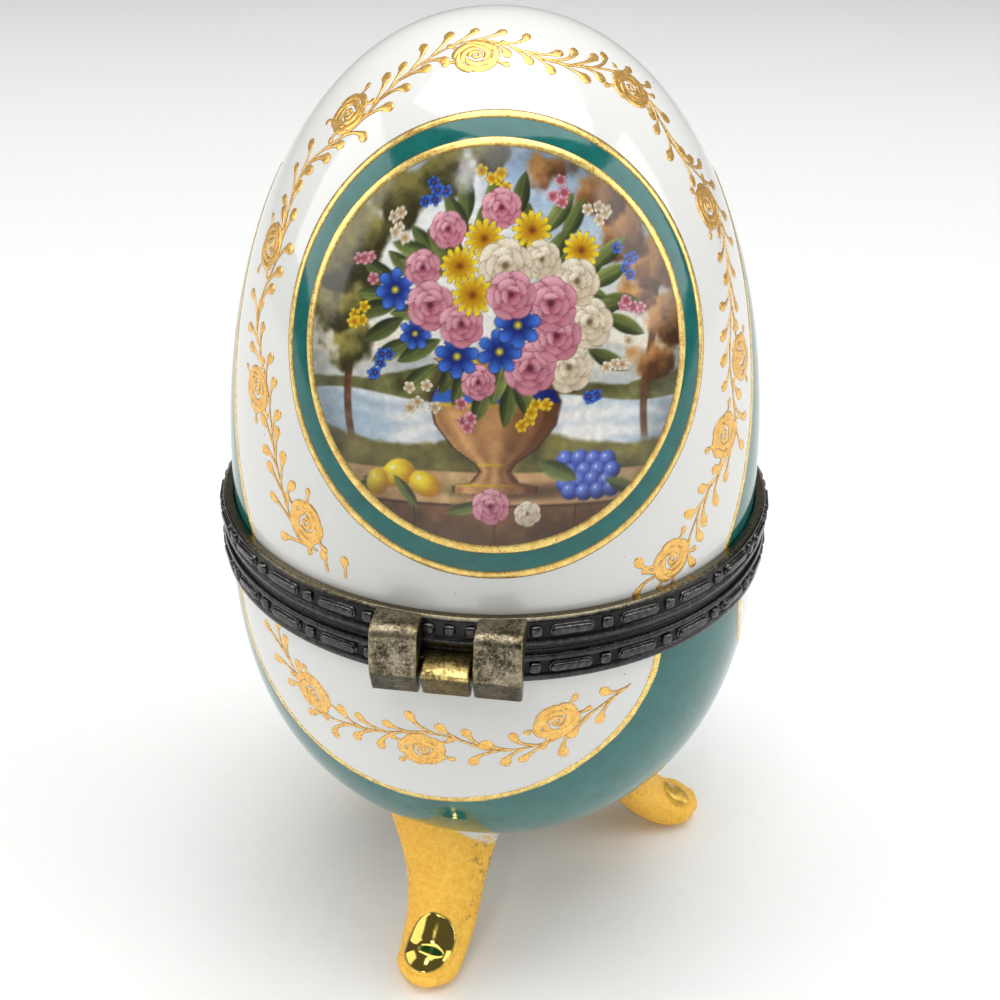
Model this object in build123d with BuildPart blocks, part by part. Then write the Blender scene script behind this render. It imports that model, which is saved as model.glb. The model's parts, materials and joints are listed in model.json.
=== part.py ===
"""Hinged porcelain egg box on three gilded feet.

The bowl stands on three porcelain feet. Bowl and lid each carry a cast metal
rim, cemented over the cut edge of the porcelain. The rims meet at the parting
plane, hinge together behind and snap together at the clasp in front.

Millimetres, +Z up, +Y towards the hinge. The floor is z = 0 and the egg's axis is Z.
"""

import os
from math import asin, cos, degrees, radians, sin

from build123d import *

# Porcelain: one egg cut in two, with the bowl a step wider than the lid
lid_radius = 30.0
lid_height = 51.6
lid_fullness = 2.14
bowl_step = 0.8
bowl_depth = 36.2
bowl_fullness = 2.45
bowl_clearance = 13.0
wall = 2.8
profile_steps = 6

# Feet: the root is placed in from the bowl's side and up from its lowest point,
# and each later section reaches out from the one before it. They are luted on by
# hand, so they lean a little and stand only about a third of a turn apart.
front_foot_angle = -9.0
right_foot_angle = 108.5
left_foot_angle = 230.0
root_reach = 17.3
root_level = 4.5
root_sway = -1.3
root_width = 14.5
root_depth = 9.5
leg_reach = 3.9
leg_level = 10.6
leg_sway = -0.4
leg_width = 10.4
leg_depth = 7.0
leg_slope = 60.0
ankle_reach = 2.9
ankle_level = 5.6
ankle_width = 8.8
ankle_depth = 5.8
ankle_slope = 46.0
ball_reach = 3.7
ball_level = 2.5
ball_width = 8.0
ball_depth = 5.4
ball_slope = 18.0
toe_reach = 2.6
toe_level = 2.1
toe_width = 7.2
toe_depth = 4.4
tip_reach = 1.8
tip_level = 2.1
tip_width = 3.8
tip_depth = 2.0

# Polished nail on top of each toe, placed from the ball of the foot
nail_reach = 1.4
nail_level = 5.35
nail_slope = 35.0
nail_length = 7.2
nail_width = 6.0
nail_root = 1.8
nail_proud = 0.3
nail_taper = 12.0

# Rims
cement_gap = 0.1
rim_wall = 0.35
lid_rim_height = 3.65
base_rim_height = 3.65
rim_flange = 0.7
lip_wall = 0.75
lip_slope = 0.3
rib_reach = 0.25
rib_height = 0.9
rib_offset = 0.5
parting_recess = 0.2
edge_rib_height = 0.9

# Bars and beads of the rims: the rows start this far beside the clasp
bars_per_half = 11
ornament_start = 0.25
bar_length = 4.6
bar_height = 1.3
bar_proud = 0.45
bead_size = 1.2
bead_proud = 0.4
ornament_root = 0.3
ornament_taper = 18.0
lid_row_level = 2.3
base_row_level = 2.08
window_clearance = 0.05

# Clasp: it reaches out from the ribs of the rims
catch_width = 4.9
leg_slit = 0.3
clasp_leg_width = 4.8
clasp_reach = 3.1
clasp_crease = 1.2
clasp_drop = 0.45
clasp_bevel = 1.2
clasp_lean = 0.5
clasp_bend = 1.3
clasp_clearance = 0.3
catch_top = 0.3
clasp_edge = 0.35

# Hinge
pin_radius = 0.6
pin_running = 0.05
pin_head = 0.3
knuckle_wall = 0.8
knuckle_length = 4.0
knuckle_slit = 0.2
hinge_clearance = 0.55
tab_clearance = 0.35
tab_height = 2.6

# Levels and radii worked out from the sizes above
bowl_radius = lid_radius + bowl_step
base_edge = bowl_clearance + bowl_depth
parting = base_edge + base_rim_height
lip = parting + lid_rim_height
lid_inside = lid_radius - wall
bowl_inside = bowl_radius - wall
lid_seat = lid_radius + cement_gap
bowl_seat = bowl_radius + cement_gap
field_radius = bowl_seat + rim_wall
recess_radius = field_radius - parting_recess
rib_radius = field_radius + rib_reach
lip_radius = lid_seat + lip_wall
knuckle_radius = pin_radius + knuckle_wall
hinge_reach = rib_radius + hinge_clearance + knuckle_radius
clasp_front = rib_radius + clasp_reach
clasp_bottom = base_edge - clasp_drop
clasp_window = catch_width / 2 + leg_slit
clasp_half = clasp_window + clasp_leg_width
hinge_half = 1.5 * knuckle_length + knuckle_slit


def egg_points(radius, height, fullness, level, way):
    """Points of a full ellipse quarter, from the equator to the pole."""
    points = []
    for step in range(profile_steps + 1):
        angle = radians(90.0 * step / profile_steps)
        across = radius * max(cos(angle), 0.0) ** (2.0 / fullness)
        along = height * sin(angle) ** (2.0 / fullness)
        points.append((across if step < profile_steps else 0.0, level + way * along))
    return points


def egg_curve(radius, height, fullness, level, way):
    """Quarter profile as one smooth curve, upright at the equator and flat at the pole."""
    points = egg_points(radius, height, fullness, level, way)
    return Spline(*points, tangents=[(0, way), (-1, 0)])


def shell_profile(radius, height, fullness, level, way, edge):
    """Section of a porcelain half: outer curve, inner curve and the cut edge."""
    outer = egg_curve(radius, height, fullness, level, way)
    inner = egg_curve(radius - wall, height - wall, fullness, level, way)
    Line(outer @ 1, inner @ 1)
    Polyline(inner @ 0, (radius - wall, edge), (radius, edge), outer @ 0)


def lid_rim_outside():
    """Outer line of the lid rim, from the parting plane up to the lip."""
    rib_low = parting + rib_offset
    rib_top = rib_low + rib_height
    Line((recess_radius, parting), (recess_radius, rib_low))
    ThreePointArc((recess_radius, rib_low), (rib_radius, rib_low + rib_height / 2), (field_radius, rib_top))
    Polyline((field_radius, rib_top), (field_radius, lip - lip_slope), (lip_radius, lip))


def base_rim_outside():
    """Outer line of the base rim, from the parting plane down to the lower edge."""
    rib_top = parting - rib_offset
    rib_low = rib_top - rib_height
    edge_top = base_edge + edge_rib_height
    Line((recess_radius, parting), (recess_radius, rib_top))
    ThreePointArc((recess_radius, rib_top), (rib_radius, rib_top - rib_height / 2), (field_radius, rib_low))
    Line((field_radius, rib_low), (field_radius, edge_top))
    edge_middle = base_edge + edge_rib_height / 2
    ThreePointArc((field_radius, edge_top), (rib_radius, edge_middle), (field_radius, base_edge))


def around(azimuth, radius, level):
    """Plane that faces outwards at an azimuth counted from the front."""
    turn = radians(azimuth)
    outwards = (sin(turn), -cos(turn), 0)
    along = (cos(turn), sin(turn), 0)
    return Plane(origin=(radius * sin(turn), -radius * cos(turn), level), x_dir=along, z_dir=outwards)


def half_row(first, count, step, radius, level):
    """Planes of a row of ornaments on both sides of the clasp."""
    azimuths = [first + step * place for place in range(count)]
    return [around(side * azimuth, radius, level) for azimuth in azimuths for side in (1, -1)]


def turn_to(across):
    """Azimuth at which a point of the field lies this far beside the front."""
    return degrees(asin(across / field_radius))


row_start = turn_to(clasp_half + ornament_start + bead_size / 2)
bar_step = (180.0 - 2 * row_start) / bars_per_half
window_step = turn_to(clasp_window - window_clearance - bead_size / 2)


def bar_planes(level):
    """Places of the bars, halfway between the beads."""
    return half_row(row_start + bar_step / 2, bars_per_half, bar_step, field_radius - ornament_root, level)


def bead_planes(level):
    """Places of the beads, from beside the clasp to beside the hinge."""
    return half_row(row_start, bars_per_half + 1, bar_step, field_radius - ornament_root, level)


def finish(piece, name):
    """Name a finished piece and write it."""
    piece.label = name
    export_step(piece, f"parts/{name}.step")


os.makedirs("parts", exist_ok=True)

# Bowl
with BuildPart() as base_bowl:
    with BuildSketch(Plane.XZ):
        with BuildLine():
            shell_profile(bowl_radius, bowl_depth, bowl_fullness, base_edge, -1, parting - rim_flange)
        make_face()
    revolve(axis=Axis.Z)
finish(base_bowl.part, "base_bowl")

# Lid
with BuildPart() as lid_shell:
    with BuildSketch(Plane.XZ):
        with BuildLine():
            shell_profile(lid_radius, lid_height, lid_fullness, lip, 1, parting + rim_flange)
        make_face()
    revolve(axis=Axis.Z)
finish(lid_shell.part, "lid_shell")


def foot_section(azimuth, reach, sway, level, slope):
    """Plane across the foot at a point of its spine, square to the spine's slope."""
    turn = radians(azimuth)
    drop = radians(slope)
    across = Vector(cos(turn), sin(turn), 0)
    outwards = Vector(sin(turn), -cos(turn), 0)
    ahead = outwards * cos(drop) - Vector(0, 0, sin(drop))
    return Plane(origin=outwards * reach + across * sway + Vector(0, 0, level), x_dir=across, z_dir=ahead)


def make_foot(name, azimuth):
    """Foot that leaves the bowl broad, narrows at the ankle and ends in a round toe with a raised nail."""
    sections = [
        (bowl_radius - root_reach, root_sway, bowl_clearance + root_level, leg_slope, root_width, root_depth),
        (leg_reach, leg_sway, leg_level, leg_slope, leg_width, leg_depth),
        (ankle_reach, 0.0, ankle_level, ankle_slope, ankle_width, ankle_depth),
        (ball_reach, 0.0, ball_level, ball_slope, ball_width, ball_depth),
        (toe_reach, 0.0, toe_level, 0.0, toe_width, toe_depth),
        (tip_reach, 0.0, tip_level, 0.0, tip_width, tip_depth),
    ]
    with BuildPart() as foot:
        reach = 0.0
        for step, sway, level, slope, width, depth in sections:
            reach += step
            with BuildSketch(foot_section(azimuth, reach, sway, level, slope)):
                Ellipse(width / 2, depth / 2)
        loft()
        # Nail, rooted in the toe
        nail_middle = reach - tip_reach - toe_reach + nail_reach
        upright = foot_section(azimuth, nail_middle, 0.0, nail_level, nail_slope - 90.0)
        with BuildSketch(upright.offset(-nail_root)):
            Ellipse(nail_width / 2, nail_length / 2)
        extrude(amount=nail_root + nail_proud, taper=nail_taper)
        # Seat against the bowl
        with BuildSketch(Plane.XZ):
            with BuildLine():
                outer = egg_curve(bowl_radius, bowl_depth, bowl_fullness, base_edge, -1)
                Polyline(outer @ 1, (0, base_edge), outer @ 0)
            make_face()
        revolve(axis=Axis.Z, mode=Mode.SUBTRACT)
        # Flat sole on the floor
        split(bisect_by=Plane.XY, keep=Keep.TOP)
    finish(foot.part, name)


make_foot("foot_front", front_foot_angle)
make_foot("foot_right", right_foot_angle)
make_foot("foot_left", left_foot_angle)

# Rim of the bowl
with BuildPart() as base_rim:
    with BuildSketch(Plane.XZ):
        with BuildLine():
            base_rim_outside()
            Polyline(
                (field_radius, base_edge),
                (bowl_seat, base_edge),
                (bowl_seat, parting - rim_flange),
                (bowl_inside, parting - rim_flange),
                (bowl_inside, parting),
                (recess_radius, parting),
            )
        make_face()
    revolve(axis=Axis.Z)
    with BuildSketch(*bar_planes(parting - base_row_level)):
        SlotOverall(bar_length, bar_height)
    extrude(amount=ornament_root + bar_proud)
    with BuildSketch(*bead_planes(parting - base_row_level)):
        Rectangle(bead_size, bead_size)
    extrude(amount=ornament_root + bead_proud, taper=ornament_taper)
finish(base_rim.part, "base_rim")

# Rim of the lid
window_beads = [around(side * window_step, field_radius - ornament_root, parting + lid_row_level)
                for side in (-1, 0, 1)]
with BuildPart() as lid_rim:
    with BuildSketch(Plane.XZ):
        with BuildLine():
            lid_rim_outside()
            Polyline(
                (lip_radius, lip),
                (lid_seat, lip),
                (lid_seat, parting + rim_flange),
                (lid_inside, parting + rim_flange),
                (lid_inside, parting),
                (recess_radius, parting),
            )
        make_face()
    revolve(axis=Axis.Z)
    with BuildSketch(*bar_planes(parting + lid_row_level)):
        SlotOverall(bar_length, bar_height)
    extrude(amount=ornament_root + bar_proud)
    with BuildSketch(*bead_planes(parting + lid_row_level), *window_beads):
        Rectangle(bead_size, bead_size)
    extrude(amount=ornament_root + bead_proud, taper=ornament_taper)
finish(lid_rim.part, "lid_rim")


def across_from(start):
    """Upright section plane at an X position, with Y across and Z up."""
    return Plane(origin=(start, 0, 0), x_dir=(0, 1, 0), z_dir=(1, 0, 0))


def cut_lid_rim():
    """Cut away the lid rim's own space, so that a fitting seats on its outside."""
    with BuildSketch(Plane.XZ) as rim_space:
        with BuildLine():
            lid_rim_outside()
            Polyline((lip_radius, lip), (0, lip), (0, parting), (recess_radius, parting))
        make_face()
    revolve(rim_space.sketch, axis=Axis.Z, mode=Mode.SUBTRACT)


def cut_base_rim():
    """Cut away the base rim's own space, so that a fitting seats on its outside."""
    with BuildSketch(Plane.XZ) as rim_space:
        with BuildLine():
            base_rim_outside()
            Polyline((field_radius, base_edge), (0, base_edge), (0, parting), (recess_radius, parting))
        make_face()
    revolve(rim_space.sketch, axis=Axis.Z, mode=Mode.SUBTRACT)


def cut_clear(radius, low, high):
    """Cut a round clearance about the egg's axis."""
    with BuildSketch(Plane.XY.offset(low)) as clearance:
        Circle(radius)
    extrude(clearance.sketch, amount=high - low, mode=Mode.SUBTRACT)


def soften_sides(fitting):
    """Round the side edges of a clasp piece in front of the rims."""
    front = fitting.edges().filter_by_position(Axis.Y, -clasp_front, -rib_radius - clasp_clearance)
    fillet(front.filter_by(Axis.X, reverse=True), clasp_edge)


def make_clasp_leg(name, start):
    """Clasp leg: bends over the lip of the lid rim and hangs down beside the catch."""
    with BuildPart() as leg:
        with BuildSketch(across_from(start)):
            with BuildLine():
                bend_top = (-(clasp_front - clasp_lean - clasp_bend), lip)
                bend_side = (-(clasp_front - clasp_lean), lip - clasp_bend)
                crease = (-clasp_front, parting - clasp_crease)
                toe = (-(clasp_front - clasp_bevel), clasp_bottom)
                Line((-lid_inside, lip), bend_top)
                RadiusArc(bend_top, bend_side, -clasp_bend)
                Polyline(bend_side, crease, toe, (-lid_inside, clasp_bottom), (-lid_inside, lip))
            make_face()
        extrude(amount=clasp_leg_width)
        cut_lid_rim()
        cut_clear(rib_radius + clasp_clearance, clasp_bottom, parting)
        soften_sides(leg)
    finish(leg.part, name)


make_clasp_leg("clasp_leg_left", -clasp_half)
make_clasp_leg("clasp_leg_right", clasp_half - clasp_leg_width)

# Catch between the clasp legs
with BuildPart() as clasp_catch:
    with BuildSketch(across_from(-catch_width / 2)):
        with BuildLine():
            back = (-lid_inside, parting - catch_top)
            shoulder = (-rib_radius, parting - catch_top)
            crease = (-clasp_front, parting - clasp_crease)
            toe = (-(clasp_front - clasp_bevel), clasp_bottom)
            Line(back, shoulder)
            TangentArc(shoulder, crease, tangent=(-1, 0))
            Polyline(crease, toe, (-lid_inside, clasp_bottom), back)
        make_face()
    extrude(amount=catch_width)
    cut_base_rim()
    cut_clear(field_radius, clasp_bottom, base_edge)
    soften_sides(clasp_catch)
finish(clasp_catch.part, "clasp_catch")


def make_knuckle(name, start, way, bore):
    """Hinge knuckle: a barrel round the pin with a tab that seats on its own rim."""
    with BuildPart() as knuckle:
        with BuildSketch(across_from(start)):
            with Locations((hinge_reach, parting)):
                Circle(knuckle_radius)
            with BuildLine():
                low = parting + way * tab_clearance
                high = parting + way * (tab_clearance + tab_height)
                Polyline(
                    (lid_inside, low),
                    (hinge_reach, low),
                    (hinge_reach, parting + way * knuckle_radius),
                    (rib_radius, high),
                    (lid_inside, high),
                    close=True,
                )
            make_face()
            with Locations((hinge_reach, parting)):
                Circle(bore, mode=Mode.SUBTRACT)
        extrude(amount=knuckle_length)
        if way > 0:
            cut_lid_rim()
        else:
            cut_base_rim()
    finish(knuckle.part, name)


make_knuckle("hinge_lid_knuckle_left", -hinge_half, 1, pin_radius + pin_running)
make_knuckle("hinge_base_knuckle", -knuckle_length / 2, -1, pin_radius)
make_knuckle("hinge_lid_knuckle_right", hinge_half - knuckle_length, 1, pin_radius + pin_running)

# Hinge pin
with BuildPart() as hinge_pin:
    with BuildSketch(across_from(-hinge_half - pin_head)):
        with Locations((hinge_reach, parting)):
            Circle(pin_radius)
    extrude(amount=2 * (hinge_half + pin_head))
    chamfer(hinge_pin.edges().filter_by(GeomType.CIRCLE), pin_head / 2)
finish(hinge_pin.part, "hinge_pin")
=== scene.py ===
"""Looks of the hinged porcelain egg box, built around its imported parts.

Glazed halves with white panels, gilded lines and vines, a painted medallion,
cast rims, clasp, hinge and three gilded feet, on a plain floor in soft light.
Drawings are worked out flat, in millimetres, and laid on the porcelain.
"""

import json
import math

import bmesh
import bpy
import numpy as np
from bpy.props import FloatProperty, FloatVectorProperty, IntProperty, PointerProperty
from mathutils import Matrix, Vector


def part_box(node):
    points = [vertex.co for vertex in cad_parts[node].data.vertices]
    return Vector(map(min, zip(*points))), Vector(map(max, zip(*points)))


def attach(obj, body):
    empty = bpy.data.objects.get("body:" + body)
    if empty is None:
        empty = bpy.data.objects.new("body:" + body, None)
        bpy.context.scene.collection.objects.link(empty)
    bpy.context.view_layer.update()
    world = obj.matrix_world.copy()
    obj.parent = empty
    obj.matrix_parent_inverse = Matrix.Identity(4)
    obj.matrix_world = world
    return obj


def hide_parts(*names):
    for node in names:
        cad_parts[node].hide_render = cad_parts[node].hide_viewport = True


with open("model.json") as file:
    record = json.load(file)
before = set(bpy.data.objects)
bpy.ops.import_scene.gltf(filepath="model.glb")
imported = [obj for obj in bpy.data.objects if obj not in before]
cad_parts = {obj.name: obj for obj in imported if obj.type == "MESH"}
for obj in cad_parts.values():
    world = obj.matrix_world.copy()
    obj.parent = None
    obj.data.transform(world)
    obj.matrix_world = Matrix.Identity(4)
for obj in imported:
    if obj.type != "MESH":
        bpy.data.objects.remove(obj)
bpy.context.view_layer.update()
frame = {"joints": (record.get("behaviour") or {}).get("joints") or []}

bl_info = {
    "name": "Porcelain Egg Box",
    "version": (1, 0, 0),
    "blender": (4, 5, 0),
    "location": "View3D > Sidebar > Egg Box",
    "description": "Builds the finish of a hinged porcelain egg box around its packed parts",
    "category": "Object",
}

MM = 0.001


def node_box(node):
    """Lowest and highest corner of a node, in millimetres."""
    low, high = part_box(node)
    return np.array(low) / MM, np.array(high) / MM


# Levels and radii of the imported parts, in millimetres
lid_low, lid_high = node_box("lid_shell")
bowl_low, bowl_high = node_box("base_bowl")
parting = node_box("lid_rim")[0][2]
lip = node_box("lid_rim")[1][2]
base_edge = node_box("base_rim")[0][2]
rim_reach = node_box("lid_rim")[1][0]
leg_low, leg_high = node_box("clasp_leg_right")
catch_low, catch_high = node_box("clasp_catch")
pin_low, pin_high = node_box("hinge_pin")
base_knuckle_high = node_box("hinge_base_knuckle")[1]
lid_knuckle_low, lid_knuckle_high = node_box("hinge_lid_knuckle_right")
hinge_pivot = np.array(frame["joints"][0]["pos_m"]) / MM


def colour_property(name, description, default):
    """Property of one linear colour."""
    return FloatVectorProperty(
        name=name, description=description, default=default, size=3, min=0.0, max=1.0, subtype="COLOR")


def number_property(name, description, default, unit="NONE"):
    """Property of one number."""
    return FloatProperty(name=name, description=description, default=default, unit=unit, precision=5)


def length_property(name, description, millimetres):
    """Property of one length, given in millimetres and kept in metres."""
    return number_property(name, description, millimetres * MM, "LENGTH")


def angle_property(name, description, degrees):
    """Property of one angle, given in degrees and kept in radians."""
    return number_property(name, description, math.radians(degrees), "ROTATION")


class GlazeSettings(bpy.types.PropertyGroup):
    """Porcelain halves and the white panels on them."""

    white: colour_property("White glaze", "Glaze of the panels and the inside", (0.80, 0.80, 0.775))
    teal: colour_property("Teal glaze", "Ground between panels, and medallion's ring", (0.006, 0.135, 0.122))
    wall: length_property("Wall", "Thickness of the porcelain", 2.8)
    lid_fullness: number_property("Lid fullness", "Power of the lid's profile", 2.14)
    bowl_fullness: number_property("Bowl fullness", "Power of the bowl's profile", 2.45)
    drawing_level: length_property("Drawing level", "Height of the medallion's middle", 82.7)
    lid_turn: angle_property("Lid turn", "Azimuth of the lid's drawing from the clasp", 7.9)
    lid_panel_turn: angle_property("Lid panel turn", "Azimuth of the lid's front panel from the clasp", 6.0)
    lid_panel_width: length_property("Lid panel half width", "Half width of the lid's panels", 35.3)
    lid_panel_upper: length_property("Lid panel upper half", "Height above their widest line", 75.0)
    lid_panel_lower: length_property("Lid panel lower half", "Height below their widest line", 39.5)
    lid_panel_drop: length_property("Lid panel drop", "Widest line's depth under the drawing level", 5.0)
    bowl_front_turn: angle_property("Bowl front panel", "Azimuth of its middle from the clasp", -9.0)
    bowl_right_turn: angle_property("Bowl right panel", "Azimuth of its middle from the clasp", 121.0)
    bowl_left_turn: angle_property("Bowl left panel", "Azimuth of its middle from the clasp", 232.0)
    bowl_panel_width: length_property("Bowl panel half width", "Half width of the bowl's panels", 27.2)
    bowl_panel_depth: length_property("Bowl panel depth", "Depth of the bowl's panels under the rim", 19.0)
    bowl_panel_power: number_property("Bowl panel power", "Power of their oval border", 1.85)


class GiltSettings(bpy.types.PropertyGroup):
    """Gilded lines, rings and vines."""

    bright: colour_property("Bright line gold", "Thick parts of the lines and rings", (1.0, 0.78, 0.25))
    deep: colour_property("Deep line gold", "Thin parts of the lines and rings", (0.74, 0.44, 0.12))
    vine_bright: colour_property("Bright vine gold", "Thick parts of the vines", (0.98, 0.60, 0.17))
    vine_deep: colour_property("Deep vine gold", "Thin parts of the vines", (0.78, 0.42, 0.10))
    brown: colour_property("Brown line", "Pen lines and edges of the gilding", (0.20, 0.105, 0.035))
    line_width: length_property("Panel line", "Width of the panels' gold line", 1.0)
    picture_radius: length_property("Picture radius", "Radius of the medallion's picture", 18.75)
    inner_ring: length_property("Inner gold ring", "Outer radius of the inner gold ring", 19.8)
    teal_ring: length_property("Teal ring", "Outer radius of the teal ring", 21.65)
    outer_ring: length_property("Outer gold ring", "Outer radius of the outer gold ring", 22.5)
    vine_radius: length_property("Vine radius", "Radius of the ring of roses round the medallion", 29.1)
    stem_width: length_property("Stem width", "Width of the vine's stem", 0.3)
    rose_size: length_property("Rose size", "Radius of a rose", 2.45)
    leaf_step: length_property("Leaf step", "Distance between leaves along the stem", 1.4)


class MetalSettings(bpy.types.PropertyGroup):
    """Rims, clasp and hinge."""

    patina: colour_property("Patina", "Dark coat of the rims", (0.018, 0.018, 0.019))
    brass: colour_property("Worn brass", "Flat lip of the lid's rim", (0.22, 0.19, 0.12))
    # The rubbed grey is partly worn coat and partly a painted highlight on the edges of the bars
    rubbed: colour_property("Rubbed coat", "Edges where the dark coat is rubbed thin", (0.26, 0.25, 0.23))
    lip_width: length_property("Lip width", "Width of the lid rim's flat lip", 0.75)
    lip_slope: length_property("Lip slope", "Height of the slope outside the lip", 0.3)
    rib_reach: length_property("Rib reach", "How far the rims' ribs stand proud of the field", 0.25)
    bars: IntProperty(name="Bars", description="Bars on each side of a rim, from clasp to hinge", default=11)
    bar_length: length_property("Bar length", "Length of a bar of the rims", 4.6)
    bar_height: length_property("Bar height", "Height of a bar of the rims", 1.3)
    bar_proud: length_property("Bar relief", "How far a bar stands proud of the field", 0.45)
    bead_size: length_property("Bead size", "Width of a bead of the rims", 1.2)
    bead_proud: length_property("Bead relief", "How far a bead stands proud of the field", 0.4)
    row_gap: length_property("Row gap", "Distance of the first bead from the clasp", 0.25)
    window_gap: length_property("Window gap", "Distance of the outer beads from the clasp's window", 0.05)
    edge_round: length_property("Edge rounding", "Rounding of the clasp's edges", 0.28)


class FootSettings(bpy.types.PropertyGroup):
    """Gilded feet."""

    gold: colour_property("Matt gold", "Gold of the feet", (1.0, 0.60, 0.075))
    stain: colour_property("Stain", "Specks and rubbed places", (0.34, 0.17, 0.04))
    nail: colour_property("Polished gold", "Mirror gold of the nails", (0.46, 0.34, 0.08))
    front_turn: angle_property("Front foot", "Azimuth of the front foot from the clasp", -9.0)
    right_turn: angle_property("Right foot", "Azimuth of the right foot from the clasp", 108.5)
    left_turn: angle_property("Left foot", "Azimuth of the left foot from the clasp", 230.0)
    nail_reach: length_property("Nail place", "Distance of a nail's middle from the egg's axis", 25.4)
    nail_level: length_property("Nail level", "Height of a nail's middle", 5.35)
    nail_slope: angle_property("Nail slope", "Slope of a nail along its foot", 35.0)
    nail_turn: angle_property("Nail turn", "Turn of a nail on its toe", 14.0)
    nail_length: length_property("Nail half length", "Half length of a nail", 3.55)
    nail_width: length_property("Nail half width", "Half width of a nail", 2.85)
    nail_dome: length_property("Nail dome", "How far a nail swells out of its toe", 0.3)


class StageSettings(bpy.types.PropertyGroup):
    """Camera, light and floor."""

    azimuth: angle_property("Azimuth", "Camera's azimuth from the clasp", 7.6)
    elevation: angle_property("Elevation", "Camera's height above the horizon", 29.369)
    roll: angle_property("Roll", "Camera's tilt to one side", 0.70)
    distance: length_property("Distance", "Camera's distance from its target", 165.48)
    target_side: length_property("Target side", "Target's place to the right of the egg's axis", 0.66)
    target_level: length_property("Target level", "Target's height", 52.42)
    focal: number_property("Focal length", "Lens on a 36 mm sensor", 50.4, "CAMERA")
    floor: colour_property("Floor", "Pale table top", (0.86, 0.86, 0.85))


class EggSettings(bpy.types.PropertyGroup):
    """All settings of the egg box."""

    glaze: PointerProperty(type=GlazeSettings)
    gilt: PointerProperty(type=GiltSettings)
    metal: PointerProperty(type=MetalSettings)
    foot: PointerProperty(type=FootSettings)
    stage: PointerProperty(type=StageSettings)


def settings():
    """Settings of the open scene."""
    return bpy.context.scene.egg_box


def in_mm(value):
    """A length property in millimetres."""
    return value / MM


def unit(angle):
    """Flat direction of length 1."""
    return np.array([math.cos(angle), math.sin(angle)])


def full_turn(count):
    """Evenly spaced angles round a full turn."""
    return np.linspace(0.0, 2 * math.pi, count, endpoint=False)


def signed_power(values, power):
    """Powers of values that keep their signs."""
    return np.sign(values) * np.abs(values) ** power


# Porcelain surfaces

class EggHalf:
    """Outside of one half: a full ellipse turned about the egg's axis, upright beyond its rim level."""

    def __init__(self, radius, height, fullness, level, way):
        self.radius = radius
        self.height = height
        self.fullness = fullness
        self.level = level
        self.way = way

    def rise(self, levels):
        """Distance from the rim level towards the pole."""
        return np.clip((levels - self.level) * self.way, 0.0, self.height)

    def radius_at(self, levels):
        """Radius of the half at a level."""
        share = self.rise(levels) / self.height
        return self.radius * (1.0 - share ** self.fullness) ** (1.0 / self.fullness)

    def slope(self, points):
        """Outward gradient of the half's equation."""
        reach = np.maximum(np.hypot(points[:, 0], points[:, 1]), 1e-9)
        out = self.fullness * (reach / self.radius) ** (self.fullness - 1) / self.radius
        share = np.maximum((points[:, 2] - self.level) * self.way, 0.0) / self.height
        along = self.way * self.fullness * share ** (self.fullness - 1) / self.height
        return np.stack([out * points[:, 0] / reach, out * points[:, 1] / reach, along], -1)

    def miss(self, points):
        """How far the points fail the half's equation: below zero inside, above zero outside."""
        reach = np.hypot(points[:, 0], points[:, 1]) / self.radius
        share = np.maximum((points[:, 2] - self.level) * self.way, 0.0) / self.height
        return reach ** self.fullness + share ** self.fullness - 1.0

    def normals(self, points):
        """Outward unit normals."""
        slope = self.slope(points)
        return slope / np.linalg.norm(slope, axis=1)[:, None]

    def settle(self, points, rounds=2):
        """Move points near the surface onto it."""
        for _ in range(rounds):
            slope = self.slope(points)
            points = points - (self.miss(points) / (slope ** 2).sum(1))[:, None] * slope
        return points

    def along_surface(self, ahead, normals):
        """Directions turned into the surface, with unit length."""
        ahead = ahead - (ahead * normals).sum(1)[:, None] * normals
        return ahead / np.linalg.norm(ahead, axis=1)[:, None]

    def wrap(self, flat, level, azimuth, steps=48):
        """Lay flat points on the surface: each goes the straightest way from the drawing's middle."""
        middle = np.array([[0.0, -self.radius_at(np.array([level]))[0], level]])
        right = np.array([1.0, 0.0, 0.0])
        up = np.cross(self.normals(middle)[0], right)
        reach = np.hypot(flat[:, 0], flat[:, 1])
        share = flat / np.maximum(reach, 1e-9)[:, None]
        ahead = share[:, :1] * right + share[:, 1:] * up
        ahead[reach < 1e-9] = right
        step = (reach / steps)[:, None]
        points = np.repeat(middle, len(flat), 0)
        for _ in range(steps):
            halfway = self.settle(points + 0.5 * step * ahead, 1)
            ahead = self.along_surface(ahead, self.normals(halfway))
            points = self.settle(points + step * ahead, 2)
            ahead = self.along_surface(ahead, self.normals(points))
        turn = np.array([[math.cos(azimuth), -math.sin(azimuth)], [math.sin(azimuth), math.cos(azimuth)]])
        points[:, :2] = points[:, :2] @ turn.T
        return points, self.normals(points)


def lid_half():
    """Outside of the lid."""
    return EggHalf(lid_high[0], lid_high[2] - lip, settings().glaze.lid_fullness, lip, 1)


def bowl_half():
    """Outside of the bowl."""
    return EggHalf(bowl_high[0], base_edge - bowl_low[2], settings().glaze.bowl_fullness, base_edge, -1)


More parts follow.
